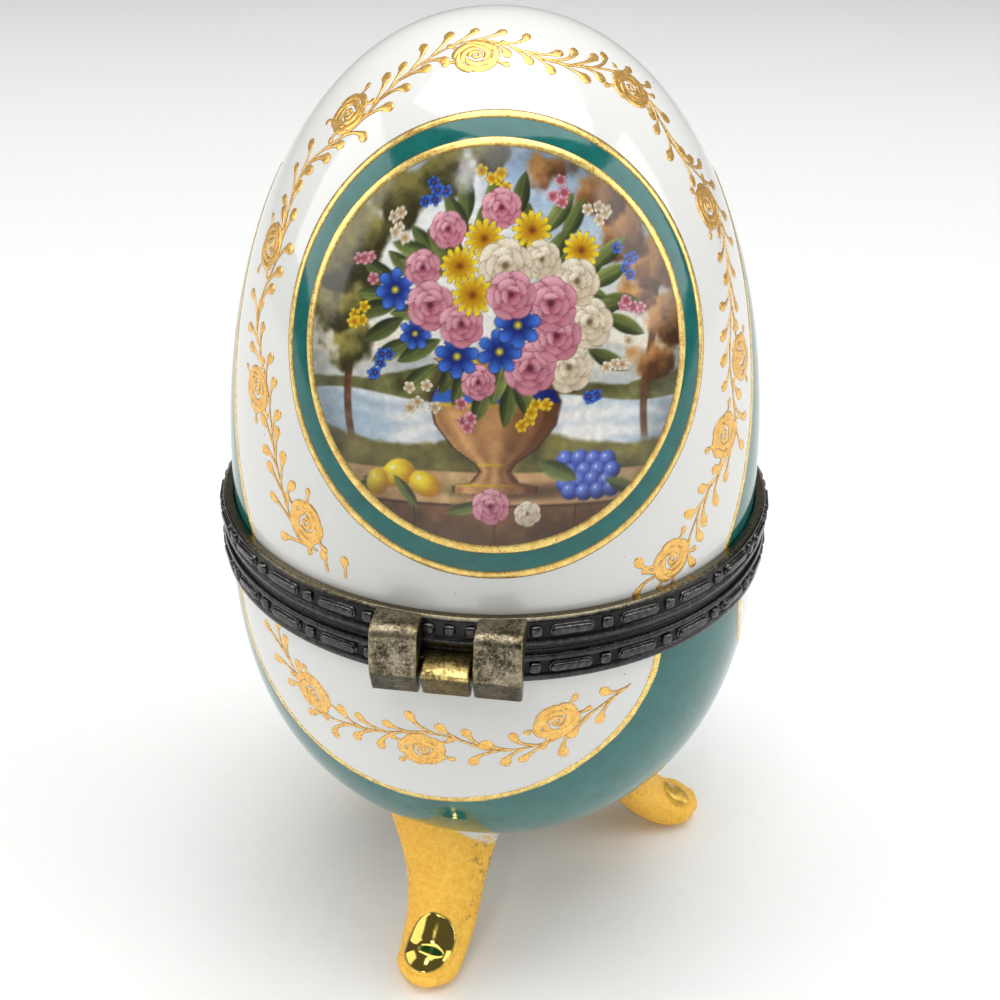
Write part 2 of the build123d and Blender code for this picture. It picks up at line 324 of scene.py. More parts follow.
class Panel:
    """White panel: an oval in the flat drawing, cut off by the rim and by the sides of the egg."""

    side = 0.5 * math.pi

    def __init__(self, half, level, azimuth, half_width, upper, lower, drop=0.0, power=2.0):
        self.half = half
        self.level = level
        self.azimuth = azimuth
        self.half_width = half_width
        self.upper = upper
        self.lower = lower
        self.drop = drop
        self.power = power

    def oval(self, angles):
        """Flat points of the border."""
        across = signed_power(np.cos(angles), 2.0 / self.power)
        up = signed_power(np.sin(angles), 2.0 / self.power)
        height = np.where(up > 0, self.upper, self.lower)
        return np.stack([self.half_width * across, height * up - self.drop], -1)

    def borders(self, overlap, count=720):
        """Flat paths of the border, running a little under the rim and ending at the sides of the egg."""
        gap = -0.5 * math.pi * self.half.way
        flat = self.oval(np.linspace(gap, gap + 2 * math.pi, count))
        points = self.half.wrap(flat, self.level, 0.0)[0]
        shown = (points[:, 2] - self.half.level) * self.half.way > -overlap
        shown &= np.abs(np.arctan2(points[:, 0], -points[:, 1])) < self.side
        runs = np.split(np.arange(count), np.flatnonzero(np.diff(shown)) + 1)
        return [flat[run] for run in runs if shown[run[0]]]

    def inside(self, points):
        """Distance of points from the border along their ring, above zero inside the panel."""
        flat = self.oval(np.linspace(-0.5 * math.pi, 0.5 * math.pi, 200))
        border = self.half.wrap(flat, self.level, 0.0)[0]
        offsets = np.arctan2(border[:, 0], -border[:, 1])
        near = offsets < self.side
        beyond = -1.0 if near.all() else math.pi
        limit = np.interp(points[:, 2], border[near, 2], offsets[near], left=-1.0, right=beyond)
        turn = np.arctan2(points[:, 0], -points[:, 1]) - self.azimuth
        offset = np.abs((turn + math.pi) % (2 * math.pi) - math.pi)
        return (limit - offset) * np.hypot(points[:, 0], points[:, 1])


def lid_panels():
    """Front and back panels of the lid, which meet over its crown."""
    glaze = settings().glaze
    sizes = (in_mm(glaze.lid_panel_width), in_mm(glaze.lid_panel_upper), in_mm(glaze.lid_panel_lower),
             in_mm(glaze.lid_panel_drop))
    turns = (glaze.lid_panel_turn, glaze.lid_panel_turn + math.pi)
    return [Panel(lid_half(), in_mm(glaze.drawing_level), turn, *sizes) for turn in turns]


def bowl_panels():
    """Front, right and left panels of the bowl, one above each foot."""
    glaze = settings().glaze
    half = bowl_half()
    width = in_mm(glaze.bowl_panel_width)
    depth = in_mm(glaze.bowl_panel_depth)
    turns = (glaze.bowl_front_turn, glaze.bowl_right_turn, glaze.bowl_left_turn)
    return [Panel(half, base_edge, turn, width, depth, depth, power=glaze.bowl_panel_power) for turn in turns]


# Meshes

def bands(rows, closed=False):
    """Faces between rows of points that close on themselves; points that meet count once."""
    following = rows[1:] + rows[:1] if closed else rows[1:]
    faces = []
    for here, after in zip(rows, following):
        for side in range(len(here)):
            beside = (side + 1) % len(here)
            faces.append(list(dict.fromkeys([here[side], here[beside], after[beside], after[side]])))
    return faces


def lathe(profile, segments, closed=False):
    """Points and faces of rows of (radius, level) turned about the egg's axis."""
    turns = full_turn(segments)
    points = []
    rows = []
    for radius, level in profile:
        start = len(points)
        if radius < 1e-6:
            points.append((0.0, 0.0, level))
            rows.append([start] * segments)
        else:
            points.extend((radius * math.sin(turn), -radius * math.cos(turn), level) for turn in turns)
            rows.append(list(range(start, start + segments)))
    return np.array(points), bands(rows, closed)


def rounded(corners, radius, steps=4):
    """Closed outline with each corner replaced by a small curve."""
    corners = np.asarray(corners, float)
    outline = []
    for place, corner in enumerate(corners):
        before = corners[place - 1] - corner
        after = corners[(place + 1) % len(corners)] - corner
        reach = min(radius, 0.45 * np.linalg.norm(before), 0.45 * np.linalg.norm(after))
        start = corner + before / np.linalg.norm(before) * reach
        end = corner + after / np.linalg.norm(after) * reach
        for step in range(steps + 1):
            share = step / steps
            outline.append((1 - share) ** 2 * start + 2 * share * (1 - share) * corner + share ** 2 * end)
    return np.array(outline)


def stacked(outlines):
    """Closed shape from outlines of equal count, one above the other, capped at both ends."""
    points = np.concatenate(outlines)
    rows = np.arange(len(points)).reshape(len(outlines), -1).tolist()
    return points, [rows[0], rows[-1], *bands(rows)]


class Shapes:
    """Several closed shapes gathered into one mesh."""

    def __init__(self):
        self.points = []
        self.faces = []
        self.count = 0

    def add(self, points, faces):
        """Take in one more shape."""
        self.points.append(np.asarray(points, float))
        self.faces.extend([corner + self.count for corner in face] for face in faces)
        self.count += len(points)

    def all_points(self):
        """Points of all shapes together."""
        return np.concatenate(self.points)


class Decal(Shapes):
    """Thin raised shapes, drawn flat and laid on the porcelain together."""

    sink = 0.03

    def stroke(self, path, width, height, closed=False):
        """Painted line along a path, domed across and sunk at its edges."""
        path = np.asarray(path, float)
        width = np.broadcast_to(width, len(path))
        ahead = np.gradient(path, axis=0)
        if closed:
            ahead = np.roll(path, -1, 0) - np.roll(path, 1, 0)
        ahead = ahead / np.maximum(np.linalg.norm(ahead, axis=1), 1e-9)[:, None]
        side = np.stack([-ahead[:, 1], ahead[:, 0]], -1)
        across = np.array([-0.5, -0.34, 0.0, 0.34, 0.5])
        heights = np.array([-self.sink, 0.85 * height, height, 0.85 * height, -self.sink])
        flat = path[:, None, :] + (width[:, None] * across)[:, :, None] * side[:, None, :]
        high = np.broadcast_to(heights, flat.shape[:2])
        points = np.concatenate([flat, high[:, :, None]], -1).reshape(-1, 3)
        rows = np.arange(len(points)).reshape(len(path), -1).tolist()
        ends = [] if closed else [rows[0], rows[-1]]
        self.add(points, bands(rows, closed) + ends)

    def laid(self, half, level, azimuth):
        """Points of the drawing on a porcelain half."""
        drawn = self.all_points()
        points, normals = half.wrap(drawn[:, :2], level, azimuth)
        return points + normals * drawn[:, 2:]


class Gilding:
    """Gold strokes, each with a fine and flatter brown line round it."""

    margin = 0.14
    flatness = 0.4

    def __init__(self):
        self.gold = Decal()
        self.pen = Decal()

    def stroke(self, path, width, height):
        """Draw one stroke and the line round it."""
        self.gold.stroke(path, width, height)
        self.pen.stroke(path, width + self.margin, self.flatness * height)


def new_object(name, data):
    """Object of the scene from its data."""
    item = bpy.data.objects.new(name, data)
    bpy.context.scene.collection.objects.link(item)
    return item


def make_piece(name, points, faces, material, body, stands_for=(), sharp=40.0):
    """Piece from points in millimetres, with its finish, its body and the nodes that it stands for."""
    mesh = bpy.data.meshes.new(name)
    mesh.from_pydata((np.asarray(points) * MM).tolist(), [], faces)
    work = bmesh.new()
    work.from_mesh(mesh)
    bmesh.ops.recalc_face_normals(work, faces=work.faces)
    work.to_mesh(mesh)
    work.free()
    mesh.shade_smooth()
    mesh.set_sharp_from_angle(angle=math.radians(sharp))
    mesh.materials.append(bpy.data.materials[material])
    piece = new_object(name, mesh)
    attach(piece, body)
    if stands_for:
        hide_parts(*stands_for)
    return piece


def store(piece, name, values):
    """Keep one number per point on a piece, for its material."""
    attribute = piece.data.attributes.new(name, "FLOAT", "POINT")
    attribute.data.foreach_set("value", np.asarray(values, np.float32))


def store_wear(piece, gain):
    """Keep how sharply each point stands out, so that edges can be worn."""
    mesh = piece.data
    count = len(mesh.vertices)
    places = np.empty(count * 3)
    mesh.vertices.foreach_get("co", places)
    places = places.reshape(-1, 3)
    normals = np.empty(count * 3)
    mesh.vertex_normals.foreach_get("vector", normals)
    normals = normals.reshape(-1, 3)
    ends = np.empty(len(mesh.edges) * 2, np.int32)
    mesh.edges.foreach_get("vertices", ends)
    first, second = ends.reshape(-1, 2).T
    span = places[second] - places[first]
    span = span / np.maximum(np.linalg.norm(span, axis=1), 1e-12)[:, None]
    total = np.bincount(first, -(span * normals[first]).sum(1), count)
    total += np.bincount(second, (span * normals[second]).sum(1), count)
    beside = np.bincount(first, minlength=count) + np.bincount(second, minlength=count)
    store(piece, "wear", np.clip(gain * total / np.maximum(beside, 1), 0.0, 1.0))


# Materials

class Finish:
    """A material under construction; sizes of its patterns are in millimetres."""

    def __init__(self, name):
        self.material = bpy.data.materials.new(name)
        self.material.use_nodes = True
        self.tree = self.material.node_tree
        self.shader = self.tree.nodes["Principled BSDF"]
        self.place = self.tree.nodes.new("ShaderNodeTexCoord").outputs["Object"]

    def join(self, socket, value):
        """Set a socket to a value, or link another socket to it."""
        if isinstance(value, bpy.types.NodeSocket):
            self.tree.links.new(value, socket)
        else:
            socket.default_value = value

    def set(self, name, value):
        """Set or link an input of the shader."""
        if not isinstance(value, bpy.types.NodeSocket) and hasattr(value, "__len__") and len(value) == 3:
            value = (*value, 1.0)
        self.join(self.shader.inputs[name], value)

    def node(self, kind, output, **values):
        """New node with its inputs set or linked; gives one of its outputs."""
        node = self.tree.nodes.new("ShaderNode" + kind)
        for name, value in values.items():
            self.join(node.inputs[name.replace("_", " ").title()], value)
        return node.outputs[output]

    def noise(self, size, detail=4.0, rough=0.55, warp=0.0):
        """Soft noise from 0 to 1 with lumps of a size."""
        scale = 1.0 / (size * MM)
        return self.node("TexNoise", "Fac", vector=self.place, scale=scale, detail=detail, roughness=rough,
                         distortion=warp)

    def cloud(self, size, detail=4.0, rough=0.55, start=0.0, end=1.0):
        """Soft noise with its middle part spread over a range."""
        return self.level(self.noise(size, detail, rough), 0.3, 0.7, start, end)

    def attribute(self, name, output="Fac"):
        """Numbers or colours kept on the piece."""
        node = self.tree.nodes.new("ShaderNodeAttribute")
        node.attribute_name = name
        return node.outputs[output]

    def level(self, value, low, high, start=0.0, end=1.0):
        """Spread a range of a value over another range."""
        return self.node("MapRange", "Result", value=value, from_min=low, from_max=high, to_min=start,
                         to_max=end)

    def blend(self, share, first, second):
        """Mix of two colours."""
        node = self.tree.nodes.new("ShaderNodeMix")
        node.data_type = "RGBA"
        self.join(node.inputs["Factor"], share)
        for socket, colour in ((node.inputs[6], first), (node.inputs[7], second)):
            if not isinstance(colour, bpy.types.NodeSocket):
                colour = (*colour, 1.0)
            self.join(socket, colour)
        return node.outputs[2]

    def sum(self, kind, first, second):
        """Arithmetic of two values."""
        node = self.tree.nodes.new("ShaderNodeMath")
        node.operation = kind
        self.join(node.inputs[0], first)
        self.join(node.inputs[1], second)
        return node.outputs["Value"]

    def relief(self, value, depth, strength=1.0):
        """Fine relief of a depth in millimetres."""
        self.set("Normal", self.node("Bump", "Normal", strength=strength, distance=depth * MM, height=value))


def scaled(colour, share):
    """A colour made darker or lighter."""
    return tuple(min(part * share, 1.0) for part in colour)


def glazed(name, white, teal):
    """Glazed porcelain: white inside the panels, cloudy teal outside them, with a few kiln specks."""
    finish = Finish(name)
    ground = finish.blend(finish.cloud(2.6, 6.0, 0.65), scaled(teal, 0.82), scaled(teal, 1.18))
    body = finish.blend(finish.noise(11.0, 3.0), scaled(white, 0.965), white)
    side = finish.level(finish.attribute("panel"), -0.08, 0.08)
    colour = finish.blend(side, ground, body)
    specks = finish.level(finish.noise(0.55, 2.0, 0.4), 0.765, 0.80, 0.0, 0.55)
    finish.set("Base Color", finish.blend(specks, colour, (0.10, 0.08, 0.07)))
    finish.set("Roughness", finish.cloud(1.6, 3.0, start=0.05, end=0.12))
    finish.set("IOR", 1.52)
    finish.relief(finish.noise(2.4, 3.0, 0.45), 0.012)
    return finish.material


def plain_glaze(name, colour):
    """One glaze colour with faint clouds in it."""
    finish = Finish(name)
    tone = finish.cloud(1.8, 6.0, 0.65)
    finish.set("Base Color", finish.blend(tone, scaled(colour, 0.8), scaled(colour, 1.2)))
    finish.set("Roughness", finish.cloud(1.2, 3.0, start=0.06, end=0.13))
    finish.set("IOR", 1.52)
    finish.relief(finish.noise(1.1, 3.0), 0.01)
    return finish.material


def gilded(name, bright, deep, brown, wear):
    """Fired gilding: thick and thin gold, rubbed through to brown in patches."""
    finish = Finish(name)
    thick = finish.level(finish.noise(0.8, 5.0, 0.65), 0.34, 0.62)
    gold = finish.blend(thick, deep, bright)
    pinholes = finish.level(finish.noise(0.24, 3.0, 0.6), 0.66, 0.74, 0.0, 0.75)
    patches = finish.level(finish.noise(1.7, 5.0, 0.7, 0.4), 0.64, 0.70, 0.0, wear)
    rubbed = finish.sum("MAXIMUM", pinholes, patches)
    finish.set("Base Color", finish.blend(rubbed, gold, brown))
    finish.set("Metallic", 0.7)
    finish.set("Roughness", finish.cloud(0.4, start=0.2, end=0.38))
    finish.relief(finish.noise(0.5, 4.0, 0.6), 0.016)
    return finish.material


def pen_line(name, brown):
    """Brown pen lines in and round the gilding."""
    finish = Finish(name)
    finish.set("Base Color", finish.blend(finish.cloud(0.3), scaled(brown, 0.7), scaled(brown, 1.4)))
    finish.set("Metallic", 0.5)
    finish.set("Roughness", finish.cloud(0.2, 3.0, start=0.3, end=0.5))
    return finish.material


def painted(name):
    """Printed and glazed picture."""
    finish = Finish(name)
    grain = finish.cloud(0.16, 2.0, 0.5, 0.0, 0.16)
    finish.set("Base Color", finish.blend(grain, finish.attribute("paint", "Color"), (0.05, 0.04, 0.035)))
    finish.set("Roughness", finish.cloud(1.5, 3.0, start=0.08, end=0.16))
    finish.set("IOR", 1.5)
    finish.relief(finish.noise(0.5, 3.0), 0.006)
    return finish.material


def dark_brass(name, patina, brass, thin):
    """Cast rim: glossy black coat, rubbed to brass on its flat lip, with a grey on its edges that is partly
    rubbed coat and partly painted highlight, and a painted sheen on its bars and beads.
    """
    finish = Finish(name)
    patchy = finish.level(finish.noise(0.5, 5.0, 0.7), 0.35, 0.6)
    # Edges get the rubbed grey, partly worn coat and partly painted highlight; the raised bars and beads get
    # a painted sheen
    rubbed = {"wear": (0.1, 0.8), "lip": (0.65, 1.0), "raised": (0.25, 1.0)}
    edges, flat, raised = (
        finish.sum("MULTIPLY", finish.attribute(name), finish.level(patchy, 0.0, 1.0, low, high))
        for name, (low, high) in rubbed.items())
    # Painted sheen: the coat of the raised bars and beads is lightened up to four times, in patches
    coat = finish.blend(raised, patina, scaled(patina, 4.0))
    finish.set("Base Color", finish.blend(flat, finish.blend(edges, coat, thin), brass))
    finish.set("Metallic", 1.0)
    finish.set("Roughness", finish.cloud(0.6, start=0.14, end=0.30))
    finish.relief(finish.noise(0.6, 4.0, 0.6), 0.07)
    return finish.material


def speckled_brass(name, dark, light, rubbed_gold, shade):
    """Clasp: finely mottled old brass, gold on its rubbed edges, with painted shade under its crease."""
    finish = Finish(name)
    mottle = finish.noise(0.3, 8.0, 0.8, 0.3)
    cast = finish.cloud(1.9, 3.0, start=-0.12, end=0.12)
    tone = finish.level(finish.sum("ADD", mottle, cast), 0.42, 0.63)
    metal = finish.blend(tone, dark, light)
    edge = finish.sum("MULTIPLY", finish.attribute("wear"), finish.level(finish.noise(0.5, 4.0), 0.38, 0.55))
    worn = finish.blend(edge, metal, rubbed_gold)
    # Painted shade: below the crease the colour is darkened towards the dark brass, as far as the shade share
    # allows
    under = finish.level(finish.attribute("under"), 0.0, 1.0, 0.0, shade)
    finish.set("Base Color", finish.blend(under, worn, scaled(dark, 0.8)))
    finish.set("Metallic", 1.0)
    finish.set("Roughness", finish.level(mottle, 0.35, 0.65, 0.4, 0.22))
    finish.relief(mottle, 0.04)
    return finish.material


def matt_gold(name, gold, stain, nail_gold, white):
    """Feet: grainy matt gold with stains, a dark seam, a bare chip at the bowl and bright nails."""
    finish = Finish(name)
    nail = finish.attribute("nail")
    flaked = finish.level(finish.noise(1.1, 5.0, 0.7), 0.38, 0.46)
    bare = finish.sum("MULTIPLY", finish.attribute("bare"), flaked)
    soft = finish.level(finish.noise(0.9, 8.0, 0.8), 0.36, 0.62)
    tawny = (0.88 * gold[0], 0.72 * gold[1], 0.6 * gold[2])
    base = finish.blend(soft, tawny, scaled(gold, 1.05))
    specks = finish.level(finish.noise(0.32, 6.0, 0.8), 0.54, 0.70, 0.0, 0.75)
    cracks = finish.level(finish.noise(1.3, 6.0, 0.75, 1.2), 0.54, 0.60, 0.0, 0.9)
    dirty = finish.sum("MAXIMUM", finish.attribute("edge"), finish.attribute("seam"))
    stains = finish.sum("MULTIPLY", dirty, cracks)
    matt = finish.blend(finish.sum("MAXIMUM", specks, stains), base, stain)
    polished = finish.blend(nail, matt, nail_gold)
    finish.set("Base Color", finish.blend(bare, polished, white))
    finish.set("Metallic", finish.sum("MAXIMUM", nail, finish.level(bare, 0.0, 1.0, 0.25, 0.0)))
    rough = finish.cloud(0.5, start=0.40, end=0.56)
    finish.set("Roughness", finish.sum("MULTIPLY", rough, finish.level(nail, 0.0, 1.0, 1.0, 0.14)))
    grain = finish.sum("MULTIPLY", finish.noise(0.5, 6.0, 0.7), finish.level(nail, 0.0, 1.0, 1.0, 0.08))
    finish.relief(grain, 0.12, 0.9)
    return finish.material


def table_top(name, colour):
    """Pale floor with a faint grain."""
    finish = Finish(name)
    finish.set("Base Color", finish.blend(finish.cloud(1.2), scaled(colour, 0.985), colour))
    finish.set("Roughness", finish.cloud(3.0, 3.0, start=0.5, end=0.65))
    return finish.material


# Painting of the medallion

def smooth(value, low, high):
    """Soft step from 0 at low to 1 at high."""
    share = np.clip((value - low) / (high - low), 0.0, 1.0)
    return share * share * (3.0 - 2.0 * share)


def between(share, first, second):
    """Mix of two colours, one mix per point."""
    share = np.clip(share, 0.0, 1.0)[:, None]
    return np.asarray(first) * (1.0 - share) + np.asarray(second) * share


class Canvas:
    """Colours over flat points, painted layer on layer; across and up run from -1 to 1."""

    def __init__(self, across, up):
        self.across = across
        self.up = up
        self.colour = np.zeros((len(across), 3))

    def lay(self, cover, colour):
        """Paint a colour over what is there."""
        cover = np.clip(cover, 0.0, 1.0)[:, None]
        self.colour = self.colour * (1.0 - cover) + np.asarray(colour, float) * cover

    def cloud(self, size, seed, layers=4):
        """Soft noise from 0 to 1 with lumps of a size."""
        cells = 64
        table = np.random.default_rng(seed).random((cells, cells))
        total = np.zeros(len(self.across))
        weight = 0.0
        for layer in range(layers):
            across = (self.across + 4.0) * 2 ** layer / size
            up = (self.up + 4.0) * 2 ** layer / size
            column = np.floor(across).astype(int)
            row = np.floor(up).astype(int)
            right = smooth(across - column, 0.0, 1.0)
            high = smooth(up - row, 0.0, 1.0)
            sides = []
            for step in (0, 1):
                line = (row + step) % cells
                left_part = table[line, column % cells] * (1 - right)
                sides.append(left_part + table[line, (column + 1) % cells] * right)
            total += (sides[0] * (1 - high) + sides[1] * high) * 0.5 ** layer
            weight += 0.5 ** layer
        return total / weight

    def turned(self, centre, turn):
        """Places about a point, along and across a direction."""
        across = self.across - centre[0]
        up = self.up - centre[1]
        return across * math.cos(turn) + up * math.sin(turn), up * math.cos(turn) - across * math.sin(turn)

    def round(self, centre, size, turn, squeeze=1.0):
        """Distance in units of a size, and angle, about a point."""
        along, aside = self.turned(centre, turn)
        return np.hypot(along, aside / squeeze) / size, np.arctan2(aside / squeeze, along)

    def rose(self, centre, size, light, dark, turn):
        """Full rose: three rings of overlapping petals round a deep heart."""
        for petals, reach, spread in ((6, 0.58, 0.50), (5, 0.36, 0.40), (3, 0.17, 0.29)):
            for petal in range(petals):
                angle = turn + petals + 2 * math.pi * petal / petals
                spot = np.asarray(centre) + reach * size * unit(angle)
                along, aside = self.turned(spot, angle)
                along = along / (0.8 * spread * size)
                inside = 1.0 - np.hypot(along, aside / (spread * size))
                lit = 0.8 + 0.2 * math.cos(angle - 2.2)
                tone = (0.15 + 0.85 * smooth(along, -0.8, 0.7)) * lit
                self.lay(smooth(inside, 0.0, 0.14), between(tone, dark, light))
                self.lay(0.45 * smooth(0.07 - np.abs(inside - 0.07), 0.0, 0.06), np.asarray(dark) * 0.75)
        heart = self.round((centre[0], centre[1] + 0.04 * size), 0.17 * size, turn)[0]
        self.lay(0.85 * smooth(1.0 - heart, 0.0, 0.6), np.asarray(dark) * 0.6)

    def bloom(self, centre, size, light, dark, petals, heart, turn):
        """Open flower with long petals round a heart."""
        reach, angle = self.round(centre, size, turn)
        wave = np.abs(np.cos(0.5 * petals * angle))
        inside = 0.55 + 0.42 * wave ** 0.55 - reach
        tone = smooth(reach, 0.05, 0.95) * (0.55 + 0.45 * wave)
        self.lay(smooth(inside, -0.03, 0.05), between(tone, dark, light))
        self.lay(0.6 * smooth(0.05 - np.abs(inside), 0.0, 0.05), np.asarray(dark) * 0.55)
        heart_size = 0.27
        heart_tone = between(smooth(reach, 0.0, heart_size), heart, dark)
        self.lay(smooth(heart_size - reach, -0.02, 0.06), heart_tone)

    def leaf(self, centre, length, width, turn, light, dark):
        """Pointed leaf with a pale vein."""
        along, aside = self.turned(centre, turn)
        share = np.clip(along / length, -1.0, 1.0)
        inside = width * (1.0 - share ** 2) ** 0.9 - np.abs(aside)
        inside = np.where(np.abs(along) < length, inside, -1.0)
        tone = 0.5 + 0.5 * np.clip(aside / width, -1.0, 1.0)
        self.lay(smooth(inside, -0.004, 0.008), between(tone, dark, light))
        self.lay(0.5 * smooth(0.006 - np.abs(aside), 0.0, 0.006) * (inside > 0), light)

    def ball(self, centre, size, light, dark, turn=0.0, squeeze=1.0):
        """Round fruit with light on its upper left."""
        reach, angle = self.round(centre, size, turn, squeeze)
        lit = 1.0 - np.hypot(reach * np.cos(angle + turn) + 0.35, reach * np.sin(angle + turn) - 0.4)
        self.lay(smooth(1.0 - reach, -0.02, 0.06), between(smooth(lit, -0.5, 0.85), dark, light))
        self.lay(0.8 * smooth(lit, 0.78, 0.95), (0.98, 0.97, 0.92))


# Colours of the picture, as seen
SKY = (0.63, 0.73, 0.84)
HAZE = (0.95, 0.92, 0.83)
CLOUD = (0.97, 0.96, 0.94)
FAR_HILL = (0.60, 0.66, 0.72)
NEAR_HILL = (0.60, 0.60, 0.38)
OLIVE_LIGHT = (0.66, 0.62, 0.33)
OLIVE_DARK = (0.20, 0.19, 0.09)
RUSSET_LIGHT = (0.80, 0.58, 0.34)
RUSSET_DARK = (0.32, 0.18, 0.09)
LEAF_LIGHT = (0.55, 0.60, 0.32)
LEAF_DARK = (0.13, 0.17, 0.09)
STONE_LIGHT = (0.87, 0.66, 0.43)
STONE_DARK = (0.40, 0.24, 0.14)
PINK = (0.93, 0.70, 0.74)
PINK_DARK = (0.58, 0.22, 0.32)
YELLOW = (0.98, 0.88, 0.22)
YELLOW_DARK = (0.72, 0.48, 0.03)
BLUE = (0.28, 0.49, 0.88)
BLUE_DARK = (0.05, 0.12, 0.42)
CREAM = (0.97, 0.93, 0.84)
CREAM_DARK = (0.70, 0.60, 0.47)


BOUQUET_SEED = 77
# Crowns of the trees in the picture: across, up and size
GREEN_CROWNS = [(-0.78, 0.02, 0.14), (-0.92, 0.2, 0.18), (-0.70, 0.28, 0.13), (-0.84, 0.44, 0.18),
                (-0.66, 0.58, 0.17), (-0.50, 0.76, 0.18), (-0.28, 0.88, 0.15), (-0.05, 0.97, 0.1)]
BROWN_CROWNS = [(0.84, -0.04, 0.15), (0.92, 0.16, 0.19), (0.76, 0.26, 0.12), (0.84, 0.44, 0.19),
                (0.66, 0.60, 0.17), (0.50, 0.76, 0.16), (0.30, 0.90, 0.12)]


def paint_view(canvas):
    """Sky, hills, lake and trees behind the flowers."""
    across = canvas.across
    up = canvas.up
    canvas.lay(np.ones(len(up)), between(smooth(up, -0.1, 0.95), HAZE, SKY))
    canvas.lay(0.85 * smooth(canvas.cloud(0.55, 3), 0.47, 0.66), CLOUD)
    far = 0.05 + 0.07 * np.sin(3.2 * across + 0.7) + 0.03 * np.sin(7.0 * across)
    canvas.lay(0.85 * smooth(far - up, 0.0, 0.03), between(canvas.cloud(0.2, 5), FAR_HILL, HAZE))
    near = -0.1 + 0.05 * np.sin(4.3 * across + 2.2) + 0.04 * (canvas.cloud(0.09, 8) - 0.5)
    canvas.lay(smooth(near - up, 0.0, 0.02), between(canvas.cloud(0.08, 9), OLIVE_DARK, NEAR_HILL))
    ripple = canvas.cloud(0.4, 11, 2) + 0.1 * np.sin(70.0 * up + 9.0 * canvas.cloud(0.25, 12))
    shore = -0.22 + 0.025 * np.sin(6.0 * across)
    canvas.lay(smooth(shore - up, 0.0, 0.015), between(smooth(ripple, 0.2, 0.9), (0.66, 0.74, 0.80), CLOUD))
    bank = -0.42 + 0.04 * np.sin(5.0 * across + 1.0) + 0.05 * (canvas.cloud(0.1, 14) - 0.5)
    canvas.lay(smooth(bank - up, 0.0, 0.03), between(canvas.cloud(0.12, 15), OLIVE_DARK, OLIVE_LIGHT))
    leafy = canvas.cloud(0.07, 21)
    rough = 0.22 * (canvas.cloud(0.16, 20) - 0.5)
    for trunk in (-0.75, 0.81):
        sway = trunk + 0.03 * np.sin(6.0 * up)
        wood = smooth(0.028 - np.abs(across - sway), 0.0, 0.012)
        wood = wood * smooth(0.6 - up, 0.0, 0.1) * smooth(up + 0.5, 0.0, 0.1)
        canvas.lay(wood, between(canvas.cloud(0.05, 31), (0.22, 0.13, 0.08), (0.55, 0.38, 0.24)))
    trees = ((GREEN_CROWNS, OLIVE_DARK, OLIVE_LIGHT), (BROWN_CROWNS, RUSSET_DARK, RUSSET_LIGHT))
    for crowns, dark, light in trees:
        for centre_across, centre_up, size in crowns:
            reach = np.hypot(across - centre_across, up - centre_up)
            lit = 0.5 * leafy + 0.5 * smooth((up - centre_up) - 0.6 * (across - centre_across), -size, size)
            canvas.lay(smooth(size + rough - reach, 0.0, 0.05), between(smooth(lit, 0.2, 0.75), dark, light))


def paint_ledge(canvas):
    """Stone ledge along the bottom."""
    across = canvas.across
    up = canvas.up
    grain = canvas.cloud(0.09, 41)
    canvas.lay(smooth(-0.60 - up, 0.0, 0.012), between(grain, (0.70, 0.52, 0.34), (0.90, 0.76, 0.55)))
    front = smooth(-0.78 - up, 0.0, 0.01)
    canvas.lay(front, between(grain, (0.33, 0.21, 0.13), (0.62, 0.44, 0.28)))
    canvas.lay(0.8 * smooth(0.012 - np.abs(up + 0.785), 0.0, 0.01), (0.22, 0.13, 0.08))
    for joint in (-0.42, 0.0, 0.42):
        canvas.lay(0.7 * front * smooth(0.008 - np.abs(across - joint), 0.0, 0.006), (0.20, 0.12, 0.07))
    moss = 0.55 * smooth(canvas.cloud(0.2, 44), 0.55, 0.72) * smooth(-0.62 - up, 0.0, 0.1)
    canvas.lay(moss, (0.42, 0.42, 0.22))


def paint_urn(canvas):
    """Fluted urn with a blue band, lit from the left."""
    levels = [-0.72, -0.68, -0.66, -0.60, -0.56, -0.48, -0.36, -0.24, -0.15, -0.10, -0.06, -0.03]
    halves = [0.21, 0.21, 0.12, 0.075, 0.10, 0.21, 0.30, 0.325, 0.28, 0.235, 0.26, 0.31]
    half = np.interp(canvas.up, levels, halves, left=0.0, right=0.0)
    place = np.clip(canvas.across / np.maximum(half, 1e-3), -1.0, 1.0)
    shadow = np.hypot((canvas.across - 0.16) / 0.5, (canvas.up + 0.71) / 0.07)
    canvas.lay(0.7 * smooth(1.0 - shadow, 0.0, 0.8), (0.20, 0.12, 0.07))
    cover = smooth(half - np.abs(canvas.across), -0.004, 0.01)
    lit = 0.62 - 0.5 * place - 0.35 * place ** 2 + 0.25 * (canvas.cloud(0.06, 51) - 0.5)
    flutes = 0.16 * np.cos(9.0 * np.arcsin(place)) * smooth(-0.27 - canvas.up, 0.0, 0.04)
    canvas.lay(cover, between(lit + flutes, STONE_DARK, STONE_LIGHT))
    band = cover * smooth(0.038 - np.abs(canvas.up + 0.215), 0.0, 0.008)
    canvas.lay(band, between(lit, BLUE_DARK, BLUE))
    for level in (-0.262, -0.168, -0.098, -0.045, -0.565, -0.675):
        moulding = 0.8 * cover * smooth(0.01 - np.abs(canvas.up - level), 0.0, 0.006)
        canvas.lay(moulding, between(lit, STONE_DARK, YELLOW))
    outline = 0.75 * smooth(0.012 - np.abs(half - np.abs(canvas.across)), 0.0, 0.01) * (half > 0)
    canvas.lay(outline, (0.24, 0.12, 0.06))


